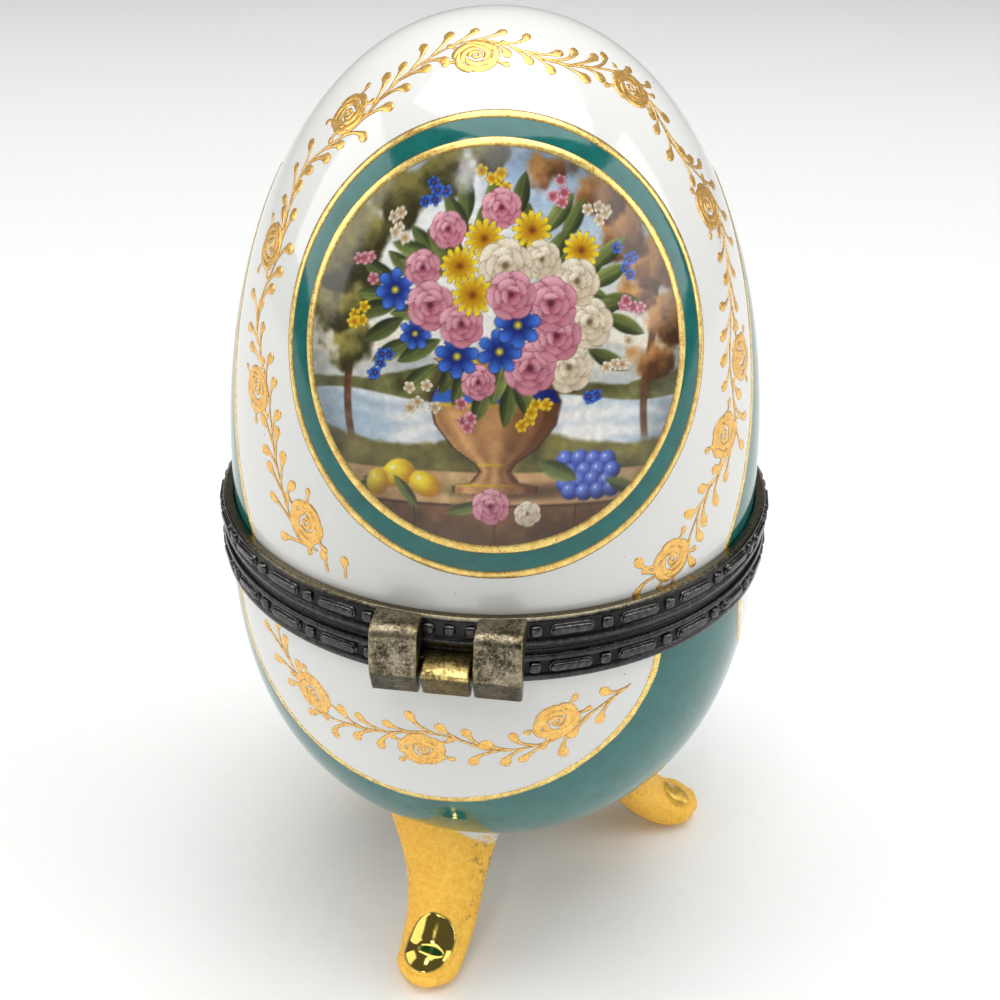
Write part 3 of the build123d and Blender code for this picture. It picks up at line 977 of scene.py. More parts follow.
def paint_flowers(canvas):
    """Bouquet above the urn, and fruit and a fallen rose on the ledge."""
    draws = np.random.default_rng(BOUQUET_SEED)
    middle = np.array([0.01, 0.25])
    pinks = (PINK, PINK_DARK)
    kinds = [pinks, (YELLOW, YELLOW_DARK), (BLUE, BLUE_DARK), (CREAM, CREAM_DARK), pinks]
    for place in range(44):
        angle = 2.4 * place
        reach = 0.36 + 0.26 * draws.random()
        turn = angle + 0.6 * (draws.random() - 0.5)
        spot = middle + reach * (unit(angle) * (1.08, 0.88))
        shade = 0.75 + 0.35 * draws.random()
        canvas.leaf(spot, 0.13, 0.045, turn, np.array(LEAF_LIGHT) * shade, np.array(LEAF_DARK) * shade)
    for place in range(15):
        angle = 0.35 + 0.42 * place
        spray = middle + 0.62 * (unit(angle) * (1.12, 0.92))
        for _ in range(5):
            spot = spray + 0.14 * (draws.random(2) - 0.5)
            light, dark = kinds[(place + 2) % 4]
            canvas.bloom(spot, 0.034, light, dark, 5, YELLOW_DARK, 6.0 * draws.random())
    count = 25
    for place in reversed(range(count)):
        reach = 0.5 * math.sqrt((place + 0.4) / count)
        angle = 2.4 * place + 0.5
        spot = middle + reach * (unit(angle) * (1.1, 0.9))
        light, dark = kinds[place % len(kinds)]
        size = 0.155 - 0.05 * draws.random() - 0.03 * reach
        turn = 6.0 * draws.random()
        if place % len(kinds) in (0, 3, 4):
            canvas.rose(spot, size, light, dark, turn)
        elif place % len(kinds) == 1:
            canvas.bloom(spot, size, light, dark, 13, (0.45, 0.24, 0.05), turn)
        else:
            canvas.bloom(spot, 0.9 * size, light, dark, 7, YELLOW, turn)
    lemons = [(-0.50, -0.63, 0.5), (-0.36, -0.68, -0.4), (-0.62, -0.69, 1.2)]
    for place, (spot_across, spot_up, turn) in enumerate(lemons):
        canvas.leaf((spot_across - 0.1, spot_up - 0.05), 0.11, 0.035, turn + 2.6, LEAF_LIGHT, LEAF_DARK)
        canvas.ball((spot_across, spot_up), 0.095 - 0.008 * place, YELLOW, YELLOW_DARK, turn, 0.78)
    for place in range(16):
        row = place // 4
        spot = (0.36 + 0.075 * (place % 4) + 0.03 * (row % 2), -0.56 - 0.055 * row + 0.02 * draws.random())
        canvas.ball(spot, 0.05, (0.42, 0.52, 0.88), BLUE_DARK)
    fallen = [((0.32, -0.60), 0.12, 0.05, 2.7), ((0.68, -0.70), 0.11, 0.04, -0.4),
              ((-0.14, -0.80), 0.12, 0.035, 3.4)]
    for spot, length, width, turn in fallen:
        canvas.leaf(spot, length, width, turn, LEAF_LIGHT, LEAF_DARK)
    canvas.rose((-0.02, -0.79), 0.105, PINK, PINK_DARK, 0.8)
    canvas.rose((0.17, -0.83), 0.075, CREAM, CREAM_DARK, 2.0)


def paint_picture(across, up):
    """Linear colours of the whole picture."""
    canvas = Canvas(across, up)
    paint_view(canvas)
    paint_ledge(canvas)
    paint_urn(canvas)
    paint_flowers(canvas)
    seen = canvas.colour * (0.92 + 0.16 * canvas.cloud(0.03, 61, 2))[:, None]
    seen = seen * (1.0 - 0.25 * smooth(np.hypot(across, up), 0.8, 1.0))[:, None]
    seen = np.clip(seen, 0.0, 1.0)
    return np.where(seen <= 0.04045, seen / 12.92, ((seen + 0.055) / 1.055) ** 2.4)


# Gilded drawings

VINE_SEED = 5
# Lengths of a vine's leaves on its left and on its right
LEAF_LENGTHS = {1: 4.2, -1: 3.5}
# Angles of the leaves round a rose
SPROUTS = (0.4, 2.6, 3.5, 5.7)
# Rings of petals of a rose: petals, reach, length in degrees, width and slant, as shares of the rose's size
ROSE_RINGS = [(3, 0.52, 140.0, 0.36, 0.2), (5, 0.81, 92.0, 0.40, 0.17)]


def draw_rose(gold, centre, turn, size, draws):
    """Gilded rose of brush strokes: a wound heart and two rings of petals with slits between them."""
    ahead = unit(turn)
    aside = np.array([-ahead[1], ahead[0]])

    def spot(reach, angle):
        """Flat points of the rose from their reach and angle."""
        return (centre + (1.1 * size * reach * np.cos(angle))[:, None] * ahead
                + (0.94 * size * reach * np.sin(angle))[:, None] * aside)

    first = 6.0 * draws.random()
    winding = np.linspace(0.0, 1.0, 36)
    gold.stroke(spot(0.08 + 0.2 * winding, first + 6.8 * winding), size * (0.17 + 0.08 * winding), 0.06)
    for petals, reach, sweep, width, slant in ROSE_RINGS:
        first += 0.7
        for petal in range(petals):
            share = np.linspace(0.0, 1.0, 16)
            angles = first + 2 * math.pi * petal / petals + math.radians(sweep) * share
            thick = size * width * (0.45 + 0.55 * np.sin(math.pi * share) ** 0.5)
            gold.stroke(spot(reach + slant * (share - 0.5), angles), thick, 0.06)


def draw_leaf(gold, start, turn, bend, length, bulb):
    """Stalk that leaves the stem, bends away and ends in a round leaf."""
    round_part = np.linspace(0.0, math.pi, 11)[1:]
    tail = length - 0.5 * bulb - 0.5 * bulb * np.cos(round_part)
    places = np.concatenate([np.linspace(0.0, length - bulb, 7), tail])
    headings = turn + bend * (places / length) ** 2.6
    gaps = np.diff(places, prepend=0.0)
    path = start + np.cumsum(np.stack([np.cos(headings), np.sin(headings)], -1) * gaps[:, None], 0)
    stalk = 0.34 + (0.65 * bulb - 0.34) * smooth(places / (length - 0.6 * bulb), 0.55, 1.0)
    leaf = np.zeros(len(places))
    leaf[7:] = np.maximum(bulb * np.sin(round_part), 0.05)
    width = np.where(np.arange(len(places)) < 10, np.maximum(stalk, leaf), leaf)
    gold.stroke(path, width, 0.05)


def draw_vine(gold, stem, roses, draws):
    """Stem with roses beside it and leaves on both sides that lean along it, the longer ones on its left."""
    gilt = settings().gilt
    size = in_mm(gilt.rose_size)
    gold.stroke(stem, in_mm(gilt.stem_width) * (0.9 + 0.25 * np.sin(np.linspace(0, 40, len(stem)))), 0.05)
    lengths = np.concatenate([[0.0], np.cumsum(np.linalg.norm(np.diff(stem, axis=0), axis=1))])
    for place, along in enumerate(np.arange(0.6, lengths[-1] - 0.6, in_mm(gilt.leaf_step))):
        start = np.array([np.interp(along, lengths, stem[:, axis]) for axis in (0, 1)])
        ahead = np.array([np.interp(along + 0.3, lengths, stem[:, axis]) for axis in (0, 1)]) - start
        side = 1 if place % 2 else -1
        turn = math.atan2(ahead[1], ahead[0])
        length = LEAF_LENGTHS[side] * (0.85 + 0.3 * draws.random())
        bend = side * (0.3 + 1.6 * draws.random())
        bulb = 1.2 + 0.3 * draws.random()
        tip = turn + side * 0.5
        reach = start + 0.8 * length * unit(tip)
        if min(np.linalg.norm(reach - rose) for rose in roses) > 1.2 * size:
            draw_leaf(gold, start, turn + side * (0.25 + 0.15 * draws.random()), bend, length, bulb)
    for rose in roses:
        nearest = np.argmin(np.linalg.norm(stem - rose, axis=1))
        ahead = stem[min(nearest + 2, len(stem) - 1)] - stem[max(nearest - 2, 0)]
        turn = math.atan2(ahead[1], ahead[0])
        for sprout in SPROUTS:
            angle = turn + sprout + 0.3 * draws.random()
            start = rose + 0.85 * size * unit(angle)
            draw_leaf(gold, start, angle - 0.4, 1.0, 1.5 + 0.6 * draws.random(), 0.8)
        draw_rose(gold, rose, turn, size, draws)


def curve_through(points, count):
    """Smooth flat curve through a few points."""
    points = np.asarray(points, float)
    padded = np.concatenate([[2 * points[0] - points[1]], points, [2 * points[-1] - points[-2]]])
    places = np.linspace(0.0, len(points) - 1 - 1e-9, count)
    index = places.astype(int)
    share = (places - index)[:, None]
    before, start, end, after = (padded[index + step] for step in range(4))
    return 0.5 * (2 * start + (end - before) * share + (2 * before - 5 * start + 4 * end - after) * share ** 2
                  + (3 * start - before - 3 * end + after) * share ** 3)


# Roses round the medallion: angle on the ring, place outside it, and where the stem passes beside the rose
LID_ROSES = [(222, -0.8, 1.5), (191, 0.0, -2.3), (160, 0.0, -2.3), (126, 0.0, -2.3), (95, 0.0, 2.3),
             (59.7, 1.9, 3.4), (30, 0.0, 2.3), (-3, 1.3, -1.5), (-20, -0.4, 2.0), (-48.5, 1.0, 2.2)]
# Ends of that stem: angle on the ring and place outside it
STEM_ENDS = [(228.0, 0.3), (-55.5, -0.8)]
# Single leaves under the first rose: angle on the ring, place outside it and heading
LID_LEAVES = [(232.5, 1.2, 100.0), (236.4, 0.0, 89.0)]


def on_vine_ring(angle, aside):
    """Flat point beside the ring of roses, from its angle in degrees and its distance outside the ring."""
    reach = in_mm(settings().gilt.vine_radius) + aside
    return reach * unit(math.radians(angle))


def lid_vine():
    """Stem and roses round the medallion, from its lower left over the top to its lower right."""
    knots = [STEM_ENDS[0]]
    for place, (angle, _, aside) in enumerate(LID_ROSES):
        knots.append((angle, aside))
        if place + 1 < len(LID_ROSES):
            knots.append((0.5 * (angle + LID_ROSES[place + 1][0]), -0.9 if place == 0 else 0.0))
    knots.append(STEM_ENDS[1])
    stem = curve_through([on_vine_ring(angle, aside) for angle, aside in knots], 420)
    return stem, [on_vine_ring(angle, place) for angle, place, _ in LID_ROSES]


# Spray of the smaller panels, flat about its own middle: stem from right to left, and roses
SPRAY_STEM = [(24.0, 4.4), (19.0, 1.8), (15.6, -0.7), (9.5, -1.6), (5.5, -0.1), (1.75, 0.4),
              (-3.0, -0.8), (-7.6, -1.5), (-10.2, -1.4), (-14.2, 2.0), (-17.0, 5.4)]
SPRAY_ROSES = [(15.7, 1.8), (1.5, -2.2), (-11.8, 0.7)]
# Depth of the sprays' middles under the bowl's edge and under the lid's drawing level
SPRAY_DROP = 8.2
BACK_DROP = 6.0


# Pieces

# Dark, light and rubbed brass, and the strength of the painted shade under the crease
CLASP_TONES = ((0.035, 0.030, 0.020), (0.38, 0.33, 0.24), (0.85, 0.66, 0.30), 0.75)
CATCH_TONES = ((0.07, 0.048, 0.018), (0.90, 0.68, 0.25), (0.95, 0.76, 0.34), 0.85)
# How much the edges of the cast rims and of the clasp are worn; on the rims and the hinge the rubbed grey of
# that wear is partly a painted highlight
RIM_WEAR = 2.2
CLASP_WEAR = 1.6
CEMENT_GAP = 0.1
# Rings and segments of the turned pieces
SHELL_RINGS = 150
INNER_RINGS = 60
SHELL_SEGMENTS = 320
RIM_SEGMENTS = 288


def make_finishes():
    """All finishes of the box, once."""
    if "gilding" in bpy.data.materials:
        return
    box = settings()
    gilt = box.gilt
    metal = box.metal
    glazed("porcelain_glaze", box.glaze.white, box.glaze.teal)
    plain_glaze("teal_glaze", box.glaze.teal)
    gilded("gilding", gilt.bright, gilt.deep, gilt.brown, 0.8)
    gilded("vine_gilding", gilt.vine_bright, gilt.vine_deep, gilt.brown, 0.3)
    pen_line("pen_line", gilt.brown)
    painted("medallion_paint")
    dark_brass("rim_brass", metal.patina, metal.brass, metal.rubbed)
    speckled_brass("clasp_brass", *CLASP_TONES)
    speckled_brass("catch_brass", *CATCH_TONES)
    matt_gold("foot_gold", box.foot.gold, box.foot.stain, box.foot.nail, box.glaze.white)
    table_top("table_top", box.stage.floor)


def shell_profile(outer, edge):
    """Profile of a porcelain half from its outer pole round the cut edge to its inner pole."""
    wall = in_mm(settings().glaze.wall)
    inner = EggHalf(outer.radius - wall, outer.height - wall, outer.fullness, outer.level, outer.way)
    profile = []
    for half, count in ((outer, SHELL_RINGS), (inner, INNER_RINGS)):
        angles = np.linspace(0.5 * math.pi, 0.0, count)
        reach = half.radius * np.maximum(np.cos(angles), 0.0) ** (2.0 / half.fullness)
        rise = half.height * np.sin(angles) ** (2.0 / half.fullness)
        reach[0] = 0.0
        profile.append(list(zip(reach, half.level + half.way * rise)))
    edges = np.linspace(outer.level, edge, 5)[1:]
    outside = [(outer.radius, level) for level in edges]
    inside = [(inner.radius, level) for level in edges[::-1]]
    return profile[0] + outside + inside + profile[1][::-1]


def make_shell(name, half, edge, panels, body, node):
    """Glazed half with its panels marked for the glaze."""
    points, faces = lathe(shell_profile(half, edge), SHELL_SEGMENTS)
    piece = make_piece(name, points, faces, "porcelain_glaze", body, [node])
    inside = np.max([panel.inside(points) for panel in panels], 0)
    outer = half.miss(points) > -0.02
    store(piece, "panel", np.where(outer, inside, 1.0))


def make_decals(name, decal, material, half, level, azimuth, body):
    """Piece from one laid drawing."""
    points = decal.laid(half, level, azimuth)
    make_piece(name, points, decal.faces, material, body, sharp=60.0)


def make_gilding(name, drawing, material, half, level, azimuth, body):
    """Gold of one drawing, and the brown lines round it."""
    make_decals(name, drawing.gold, material, half, level, azimuth, body)
    make_decals(name + "_edge", drawing.pen, "pen_line", half, level, azimuth, body)


def make_panel_line(name, panel, body):
    """Gold line round a panel."""
    width = in_mm(settings().gilt.line_width)
    under_rim = 0.35
    height = 0.055
    line = Gilding()
    for path in panel.borders(under_rim):
        share = np.linspace(0.0, 1.0, len(path))
        sway = width * (1.0 + 0.1 * np.sin(55.0 * share) + 0.06 * np.sin(1.0 + 148.0 * share))
        line.stroke(path, sway, height)
    make_gilding(name, line, "gilding", panel.half, panel.level, panel.azimuth, body)


class EGG_OT_shells(bpy.types.Operator):
    """Glaze the lid and the bowl"""

    bl_idname = "egg_box.shells"
    bl_label = "Porcelain halves"

    def execute(self, context):
        make_finishes()
        make_shell("lid_porcelain", lid_half(), lid_low[2], lid_panels(), "lid", "lid_shell")
        make_shell("bowl_porcelain", bowl_half(), bowl_high[2], bowl_panels(), "base",
                   "base_bowl")
        return {"FINISHED"}


class EGG_OT_panel_lines(bpy.types.Operator):
    """Draw the gold lines round the white panels"""

    bl_idname = "egg_box.panel_lines"
    bl_label = "Panel lines"

    def execute(self, context):
        make_finishes()
        for side, panel in zip(("front", "back"), lid_panels()):
            make_panel_line("lid_line_" + side, panel, "lid")
        for side, panel in zip(("front", "right", "left"), bowl_panels()):
            make_panel_line("bowl_line_" + side, panel, "base")
        return {"FINISHED"}


def disc_grid(count):
    """Square grid squeezed into a disc of radius 1: places, faces and the order of its outer points."""
    side = np.linspace(-1.0, 1.0, count + 1)
    first, second = np.meshgrid(side, side, indexing="ij")
    wide = np.abs(first) >= np.abs(second)
    reach = np.where(wide, first, second)
    lesser = np.where(wide, second, first)
    share = lesser / np.where(reach == 0.0, 1.0, reach)
    angle = np.where(wide, 0.25 * math.pi * share, 0.5 * math.pi - 0.25 * math.pi * share)
    flat = np.stack([(reach * np.cos(angle)).ravel(), (reach * np.sin(angle)).ravel()], -1)
    index = np.arange((count + 1) ** 2).reshape(count + 1, count + 1)
    faces = np.stack([index[:-1, :-1], index[1:, :-1], index[1:, 1:], index[:-1, 1:]], -1).reshape(-1, 4)
    outer = np.concatenate([index[:-1, 0], index[-1, :-1], index[:0:-1, -1], index[0, :0:-1]])
    return flat, faces.tolist(), outer.tolist()


def make_picture(half, level, azimuth):
    """Painted disc, closed underneath, reaching a little under the gold ring."""
    radius = in_mm(settings().gilt.picture_radius)
    overlap = 0.4
    top = 0.03
    under = -0.04
    cells = 280
    spread = radius + overlap
    flat, faces, outer = disc_grid(cells)
    drawn = [np.column_stack([flat * spread, np.full(len(flat), top)])]
    rows = [outer]
    for place, share in enumerate((1.0, 0.85, 0.7, 0.55, 0.4, 0.25, 0.1)):
        start = len(flat) + place * len(outer)
        rows.append(list(range(start, start + len(outer))))
        drawn.append(np.column_stack([flat[outer] * spread * share, np.full(len(outer), under)]))
    faces.extend([*bands(rows), rows[-1]])
    drawn = np.concatenate(drawn)
    points, normals = half.wrap(drawn[:, :2], level, azimuth)
    piece = make_piece("medallion_picture", points + normals * drawn[:, 2:], faces, "medallion_paint",
                       "lid", sharp=60.0)
    colours = np.ones((len(points), 4), np.float32)
    colours[:, :3] = paint_picture(drawn[:, 0] / radius, drawn[:, 1] / radius)
    paint = piece.data.color_attributes.new("paint", "FLOAT_COLOR", "POINT")
    paint.data.foreach_set("color", colours.ravel())


class EGG_OT_medallion(bpy.types.Operator):
    """Paint the medallion and lay its rings"""

    bl_idname = "egg_box.medallion"
    bl_label = "Medallion"

    def execute(self, context):
        make_finishes()
        gilt = settings().gilt
        half = lid_half()
        level = in_mm(settings().glaze.drawing_level)
        azimuth = settings().glaze.lid_turn
        make_picture(half, level, azimuth)
        edges = (gilt.picture_radius, gilt.inner_ring, gilt.teal_ring, gilt.outer_ring)
        radii = [in_mm(edge) for edge in edges]
        angles = full_turn(360)
        round_path = np.stack([np.cos(angles), np.sin(angles)], -1)
        wobble = 0.06 * np.sin(5 * angles + 1.0) + 0.04 * np.sin(13 * angles)
        rings = [("medallion_teal_ring", "teal_glaze", "porcelain_lid", 1, 2, 0.035, 1.0, 0.0),
                 ("medallion_inner_edge", "pen_line", "gilt", 0, 1, 0.045, 0.2, 1.0),
                 ("medallion_outer_edge", "pen_line", "gilt", 2, 3, 0.045, 0.2, 1.0),
                 ("medallion_inner_ring", "gilding", "gilt", 0, 1, 0.075, 0.0, 1.0),
                 ("medallion_outer_ring", "gilding", "gilt", 2, 3, 0.075, 0.0, 1.0)]
        for name, material, slot, low, high, height, extra, sway in rings:
            ring = Decal()
            middle = 0.5 * (radii[low] + radii[high])
            width = radii[high] - radii[low] + extra + sway * wobble
            ring.stroke(middle * round_path, width, height, closed=True)
            make_decals(name, ring, material, half, level, azimuth, "lid")
        return {"FINISHED"}


class EGG_OT_vines(bpy.types.Operator):
    """Draw the gilded vines on the panels"""

    bl_idname = "egg_box.vines"
    bl_label = "Gilded vines"

    def execute(self, context):
        make_finishes()
        glaze = settings().glaze
        draws = np.random.default_rng(VINE_SEED)
        stem, roses = lid_vine()
        spray = curve_through(SPRAY_STEM, 160)
        spray_roses = [np.array(rose) for rose in SPRAY_ROSES]
        bowl_level = base_edge - SPRAY_DROP
        lid_level = in_mm(glaze.drawing_level)
        vines = [("lid_vine_front", lid_half(), lid_level, glaze.lid_turn, "lid"),
                 ("lid_vine_back", lid_half(), lid_level - BACK_DROP, glaze.lid_turn + math.pi, "lid"),
                 ("bowl_vine_front", bowl_half(), bowl_level, glaze.bowl_front_turn, "base"),
                 ("bowl_vine_right", bowl_half(), bowl_level, glaze.bowl_right_turn, "base"),
                 ("bowl_vine_left", bowl_half(), bowl_level, glaze.bowl_left_turn, "base")]
        for name, half, level, azimuth, body in vines:
            gold = Gilding()
            if name == "lid_vine_front":
                draw_vine(gold, stem, roses, draws)
                for angle, aside, heading in LID_LEAVES:
                    draw_leaf(gold, on_vine_ring(angle, aside), math.radians(heading), 0.2, 2.5, 1.2)
            else:
                draw_vine(gold, spray, spray_roses, draws)
            make_gilding(name, gold, "vine_gilding", half, level, azimuth, body)
        return {"FINISHED"}


# Steps of a bar and a bead of the rims: inset from the outline and share of the relief
BAR_STEPS = [(0.0, -0.5), (0.0, 0.25), (0.06, 0.38), (0.13, 0.42), (0.19, 0.44), (0.22, 0.76),
             (0.27, 0.92), (0.4, 1.0)]
BEAD_STEPS = [(0.0, -0.5), (0.0, 0.45), (0.06, 0.7), (0.16, 0.9), (0.3, 1.0)]
# Heights of the middles of the ornaments above the parting, on the lid's and the base's rim
LID_ROW = 2.3
BASE_ROW = -2.08


def on_rim(radius, azimuth, level, across, up, out):
    """Points of a rim ornament from places across, up and out from its middle."""
    turn = azimuth + across / radius
    reach = radius + out
    return np.stack([reach * np.sin(turn), -reach * np.cos(turn), level + up], -1)


def bar_outlines(length, height, proud):
    """Outlines of a stepped bar with round ends: across, up and how far out."""
    outlines = []
    for inset, share in BAR_STEPS:
        out = proud * share
        radius = 0.5 * height - inset
        straight = 0.5 * (length - height)
        outline = []
        for side in (1, -1):
            for angle in np.linspace(-0.5 * math.pi, 0.5 * math.pi, 9):
                across = side * (straight + radius * math.cos(angle))
                outline.append((across, side * radius * math.sin(angle), out))
        outlines.append(np.array(outline))
    return outlines


def bead_outlines(size, proud):
    """Outlines of a squarish bead: across, up and how far out."""
    outlines = []
    angles = full_turn(20)
    for inset, share in BEAD_STEPS:
        out = proud * share
        radius = 0.5 * size - inset
        across = radius * signed_power(np.cos(angles), 0.5)
        up = radius * signed_power(np.sin(angles), 0.5)
        outlines.append(np.stack([across, up, np.full(len(angles), out)], -1))
    return outlines


def add_ornament(shapes, outlines, radius, azimuth, level):
    """Set one ornament on a rim."""
    placed = [on_rim(radius, azimuth, level, rows[:, 0], rows[:, 1], rows[:, 2]) for rows in outlines]
    shapes.add(*stacked(placed))


def add_rows(shapes, radius, level):
    """Bars and beads on both sides, from the clasp to the hinge."""
    metal = settings().metal
    size = in_mm(metal.bead_size)
    bar = bar_outlines(in_mm(metal.bar_length), in_mm(metal.bar_height), in_mm(metal.bar_proud))
    bead = bead_outlines(size, in_mm(metal.bead_proud))
    start = math.asin((leg_high[0] + in_mm(metal.row_gap) + 0.5 * size) / radius)
    step = (math.pi - 2 * start) / metal.bars
    for side in (1, -1):
        for place in range(metal.bars):
            add_ornament(shapes, bar, radius, side * (start + (place + 0.5) * step), level)
        for place in range(metal.bars + 1):
            add_ornament(shapes, bead, radius, side * (start + place * step), level)


def add_window_beads(shapes, radius, level):
    """Three beads in the window between the clasp legs."""
    metal = settings().metal
    size = in_mm(metal.bead_size)
    bead = bead_outlines(size, in_mm(metal.bead_proud))
    step = math.asin((leg_low[0] - in_mm(metal.window_gap) - 0.5 * size) / radius)
    for side in (-1, 0, 1):
        add_ornament(shapes, bead, radius, side * step, level)


def parting_rows(groove, rib, field, way):
    """Profile of a rim from its groove at the parting over a rib to its field, upwards or downwards."""
    rows = [(groove, 0.0), (groove, 0.45), (rib - 0.07, 0.6), (rib, 0.95), (rib - 0.08, 1.25), (field, 1.42)]
    return [(radius, parting + way * rise) for radius, rise in rows]


def inner_rows(radius, low, edge):
    """Profile of a rim from its seat on the porcelain to its inner edge at the parting."""
    wall = in_mm(settings().glaze.wall)
    return [(radius + CEMENT_GAP, low), (radius + CEMENT_GAP, edge), (radius - wall, edge),
            (radius - wall, parting)]


class EGG_OT_rims(bpy.types.Operator):
    """Cast the rims of the lid and the bowl"""

    bl_idname = "egg_box.rims"
    bl_label = "Rims"

    def execute(self, context):
        make_finishes()
        metal = settings().metal
        field = rim_reach - in_mm(metal.bar_proud)
        rib = field + in_mm(metal.rib_reach)
        groove = field - 0.2
        rounding = 0.1
        lip_radius = lid_high[0] + CEMENT_GAP + in_mm(metal.lip_width)
        lid_profile = [*parting_rows(groove, rib, field, 1), (field, lip - in_mm(metal.lip_slope)),
                       (lip_radius, lip), *inner_rows(lid_high[0], lip, lid_low[2])]
        base_profile = [*parting_rows(groove, rib, field, -1), (field, base_edge + 0.9),
                        (rib - 0.04, base_edge + 0.7), (rib, base_edge + 0.3), (rib - 0.12, base_edge),
                        *inner_rows(bowl_high[0], base_edge, bowl_high[2])]
        rims = [("lid_rim_cast", lid_profile, parting + LID_ROW, "lid", "lid_rim"),
                ("base_rim_cast", base_profile, parting + BASE_ROW, "base", "base_rim")]
        for name, profile, level, body, node in rims:
            shapes = Shapes()
            shapes.add(*lathe(rounded(profile, rounding), RIM_SEGMENTS, closed=True))
            add_rows(shapes, field, level)
            if body == "lid":
                add_window_beads(shapes, field, level)
            points = shapes.all_points()
            piece = make_piece(name, points, shapes.faces, "rim_brass", body, [node], 55.0)
            # Edge wear, whose rubbed grey is partly a painted highlight
            store_wear(piece, RIM_WEAR)
            store(piece, "lip", smooth(points[:, 2], lip - 0.12, lip - 0.04))
            # Share of the painted sheen on the raised bars and beads
            store(piece, "raised", smooth(np.hypot(points[:, 0], points[:, 1]), field + 0.05, field + 0.3))
        return {"FINISHED"}


def prism(outline, start, end):
    """Upright outline of (forward, up) places, carried across from start to end."""
    return stacked([np.column_stack([np.full(len(outline), across), outline]) for across in (start, end)])


def soften(piece, width, segments=3):
    """Round the sharp edges of a piece."""
    work = bmesh.new()
    work.from_mesh(piece.data)
    sharp = [edge for edge in work.edges if edge.calc_face_angle(0.0) > math.radians(28.0)]
    bmesh.ops.bevel(work, geom=sharp, offset=width * MM, segments=segments, profile=0.5, affect="EDGES")
    work.to_mesh(piece.data)
    work.free()
    piece.data.shade_smooth()
    piece.data.set_sharp_from_angle(angle=math.radians(40.0))


def wear_clasp(piece, edge, crease, bottom):
    """Round and wear a piece of the clasp, and keep how far its points lie under the crease, for the painted
    shade there.
    """
    soften(piece, edge)
    store_wear(piece, CLASP_WEAR)
    levels = np.array([vertex.co.z for vertex in piece.data.vertices]) / MM
    # Share of painted shade, growing below the crease
    store(piece, "under", smooth(crease - levels, 0.02, 0.1 * (crease - bottom)))


def arc(centre, radius, first, last, count):
    """Points of an arc in an upright plane, with angles in degrees."""
    angles = np.radians(np.linspace(first, last, count))
    return [(centre[0] + radius * math.cos(angle), centre[1] + radius * math.sin(angle)) for angle in angles]


class EGG_OT_clasp(bpy.types.Operator):
    """Make the clasp legs and the catch"""

    bl_idname = "egg_box.clasp"
    bl_label = "Clasp"

    def execute(self, context):
        make_finishes()
        edge = in_mm(settings().metal.edge_round)
        front = leg_low[1]
        bottom = leg_low[2]
        lean = 0.5
        bend = 1.3
        bevel = 1.2
        crease = parting - 1.2
        clear = front + 2.45
        catch_back = front + 3.1
        catch_seat = front + 3.6
        catch_foot = base_edge + 0.3
        shoulder = parting - 0.3
        corner = (front + lean + bend, lip - bend)
        step = 0.12
        below = (front + bevel * step, crease + (bottom - crease) * step)
        outer = [*arc(corner, bend, 90.0, 180.0, 8), (front, crease), below, (front + bevel, bottom),
                 (clear, bottom), (clear, parting)]
        lip_radius = lid_high[0] + CEMENT_GAP + in_mm(settings().metal.lip_width)
        for name, start, end in (("clasp_leg_left", -leg_high[0], -leg_low[0]),
                                 ("clasp_leg_right", leg_low[0], leg_high[0])):
            outlines = []
            for across in np.linspace(start, end, 9):
                back = -math.sqrt((lip_radius - 0.05) ** 2 - across ** 2)
                section = [(back, lip + 0.03), *outer, (back, parting)]
                outlines.append(np.array([(across, place, level) for place, level in section]))
            points, faces = stacked(outlines)
            piece = make_piece(name + "_cast", points, faces, "clasp_brass", "lid", [name])
            wear_clasp(piece, edge, crease, bottom)
        depth = catch_back - front
        curve = [(catch_back - depth * math.sin(turn), crease + (shoulder - crease) * math.cos(turn))
                 for turn in np.linspace(0.0, 0.5 * math.pi, 9)]
        catch = [(catch_seat, shoulder), *curve, below, (front + bevel, bottom), (catch_back, bottom),
                 (catch_back, catch_foot), (catch_seat, catch_foot)]
        points, faces = prism(catch, catch_low[0], catch_high[0])
        piece = make_piece("clasp_catch_cast", points, faces, "catch_brass", "base",
                           ["clasp_catch"])
        wear_clasp(piece, edge, crease, bottom)
        return {"FINISHED"}


def barrel(profile, segments, closed=False):
    """Rows of (radius, place) along the hinge's axis, turned about it."""
    points, faces = lathe(profile, segments, closed)
    laid = np.stack([points[:, 2], points[:, 0] + hinge_pivot[1], points[:, 1] + hinge_pivot[2]], -1)
    return laid, faces


def knuckle_shapes(start, end, way, inner, bore):
    """Barrel round the pin, and the tab that holds it to its rim."""
    radius = base_knuckle_high[1] - hinge_pivot[1]
    ring = rounded([(bore, start), (radius, start), (radius, end), (bore, end)], 0.16)
    shapes = Shapes()
    shapes.add(*barrel(ring, 48, closed=True))
    low = parting + way * 0.35
    shoulder = parting + way * 1.25
    high = parting + way * 2.95
    reach = hinge_pivot[1] - 0.75
    slant = 0.9
    inset = 0.02
    tab = [(inner, low), (reach, low), (reach, shoulder), (reach - slant, high), (inner, high)]
    shapes.add(*prism(rounded(tab, 0.12, 3), start + inset, end - inset))
    return shapes


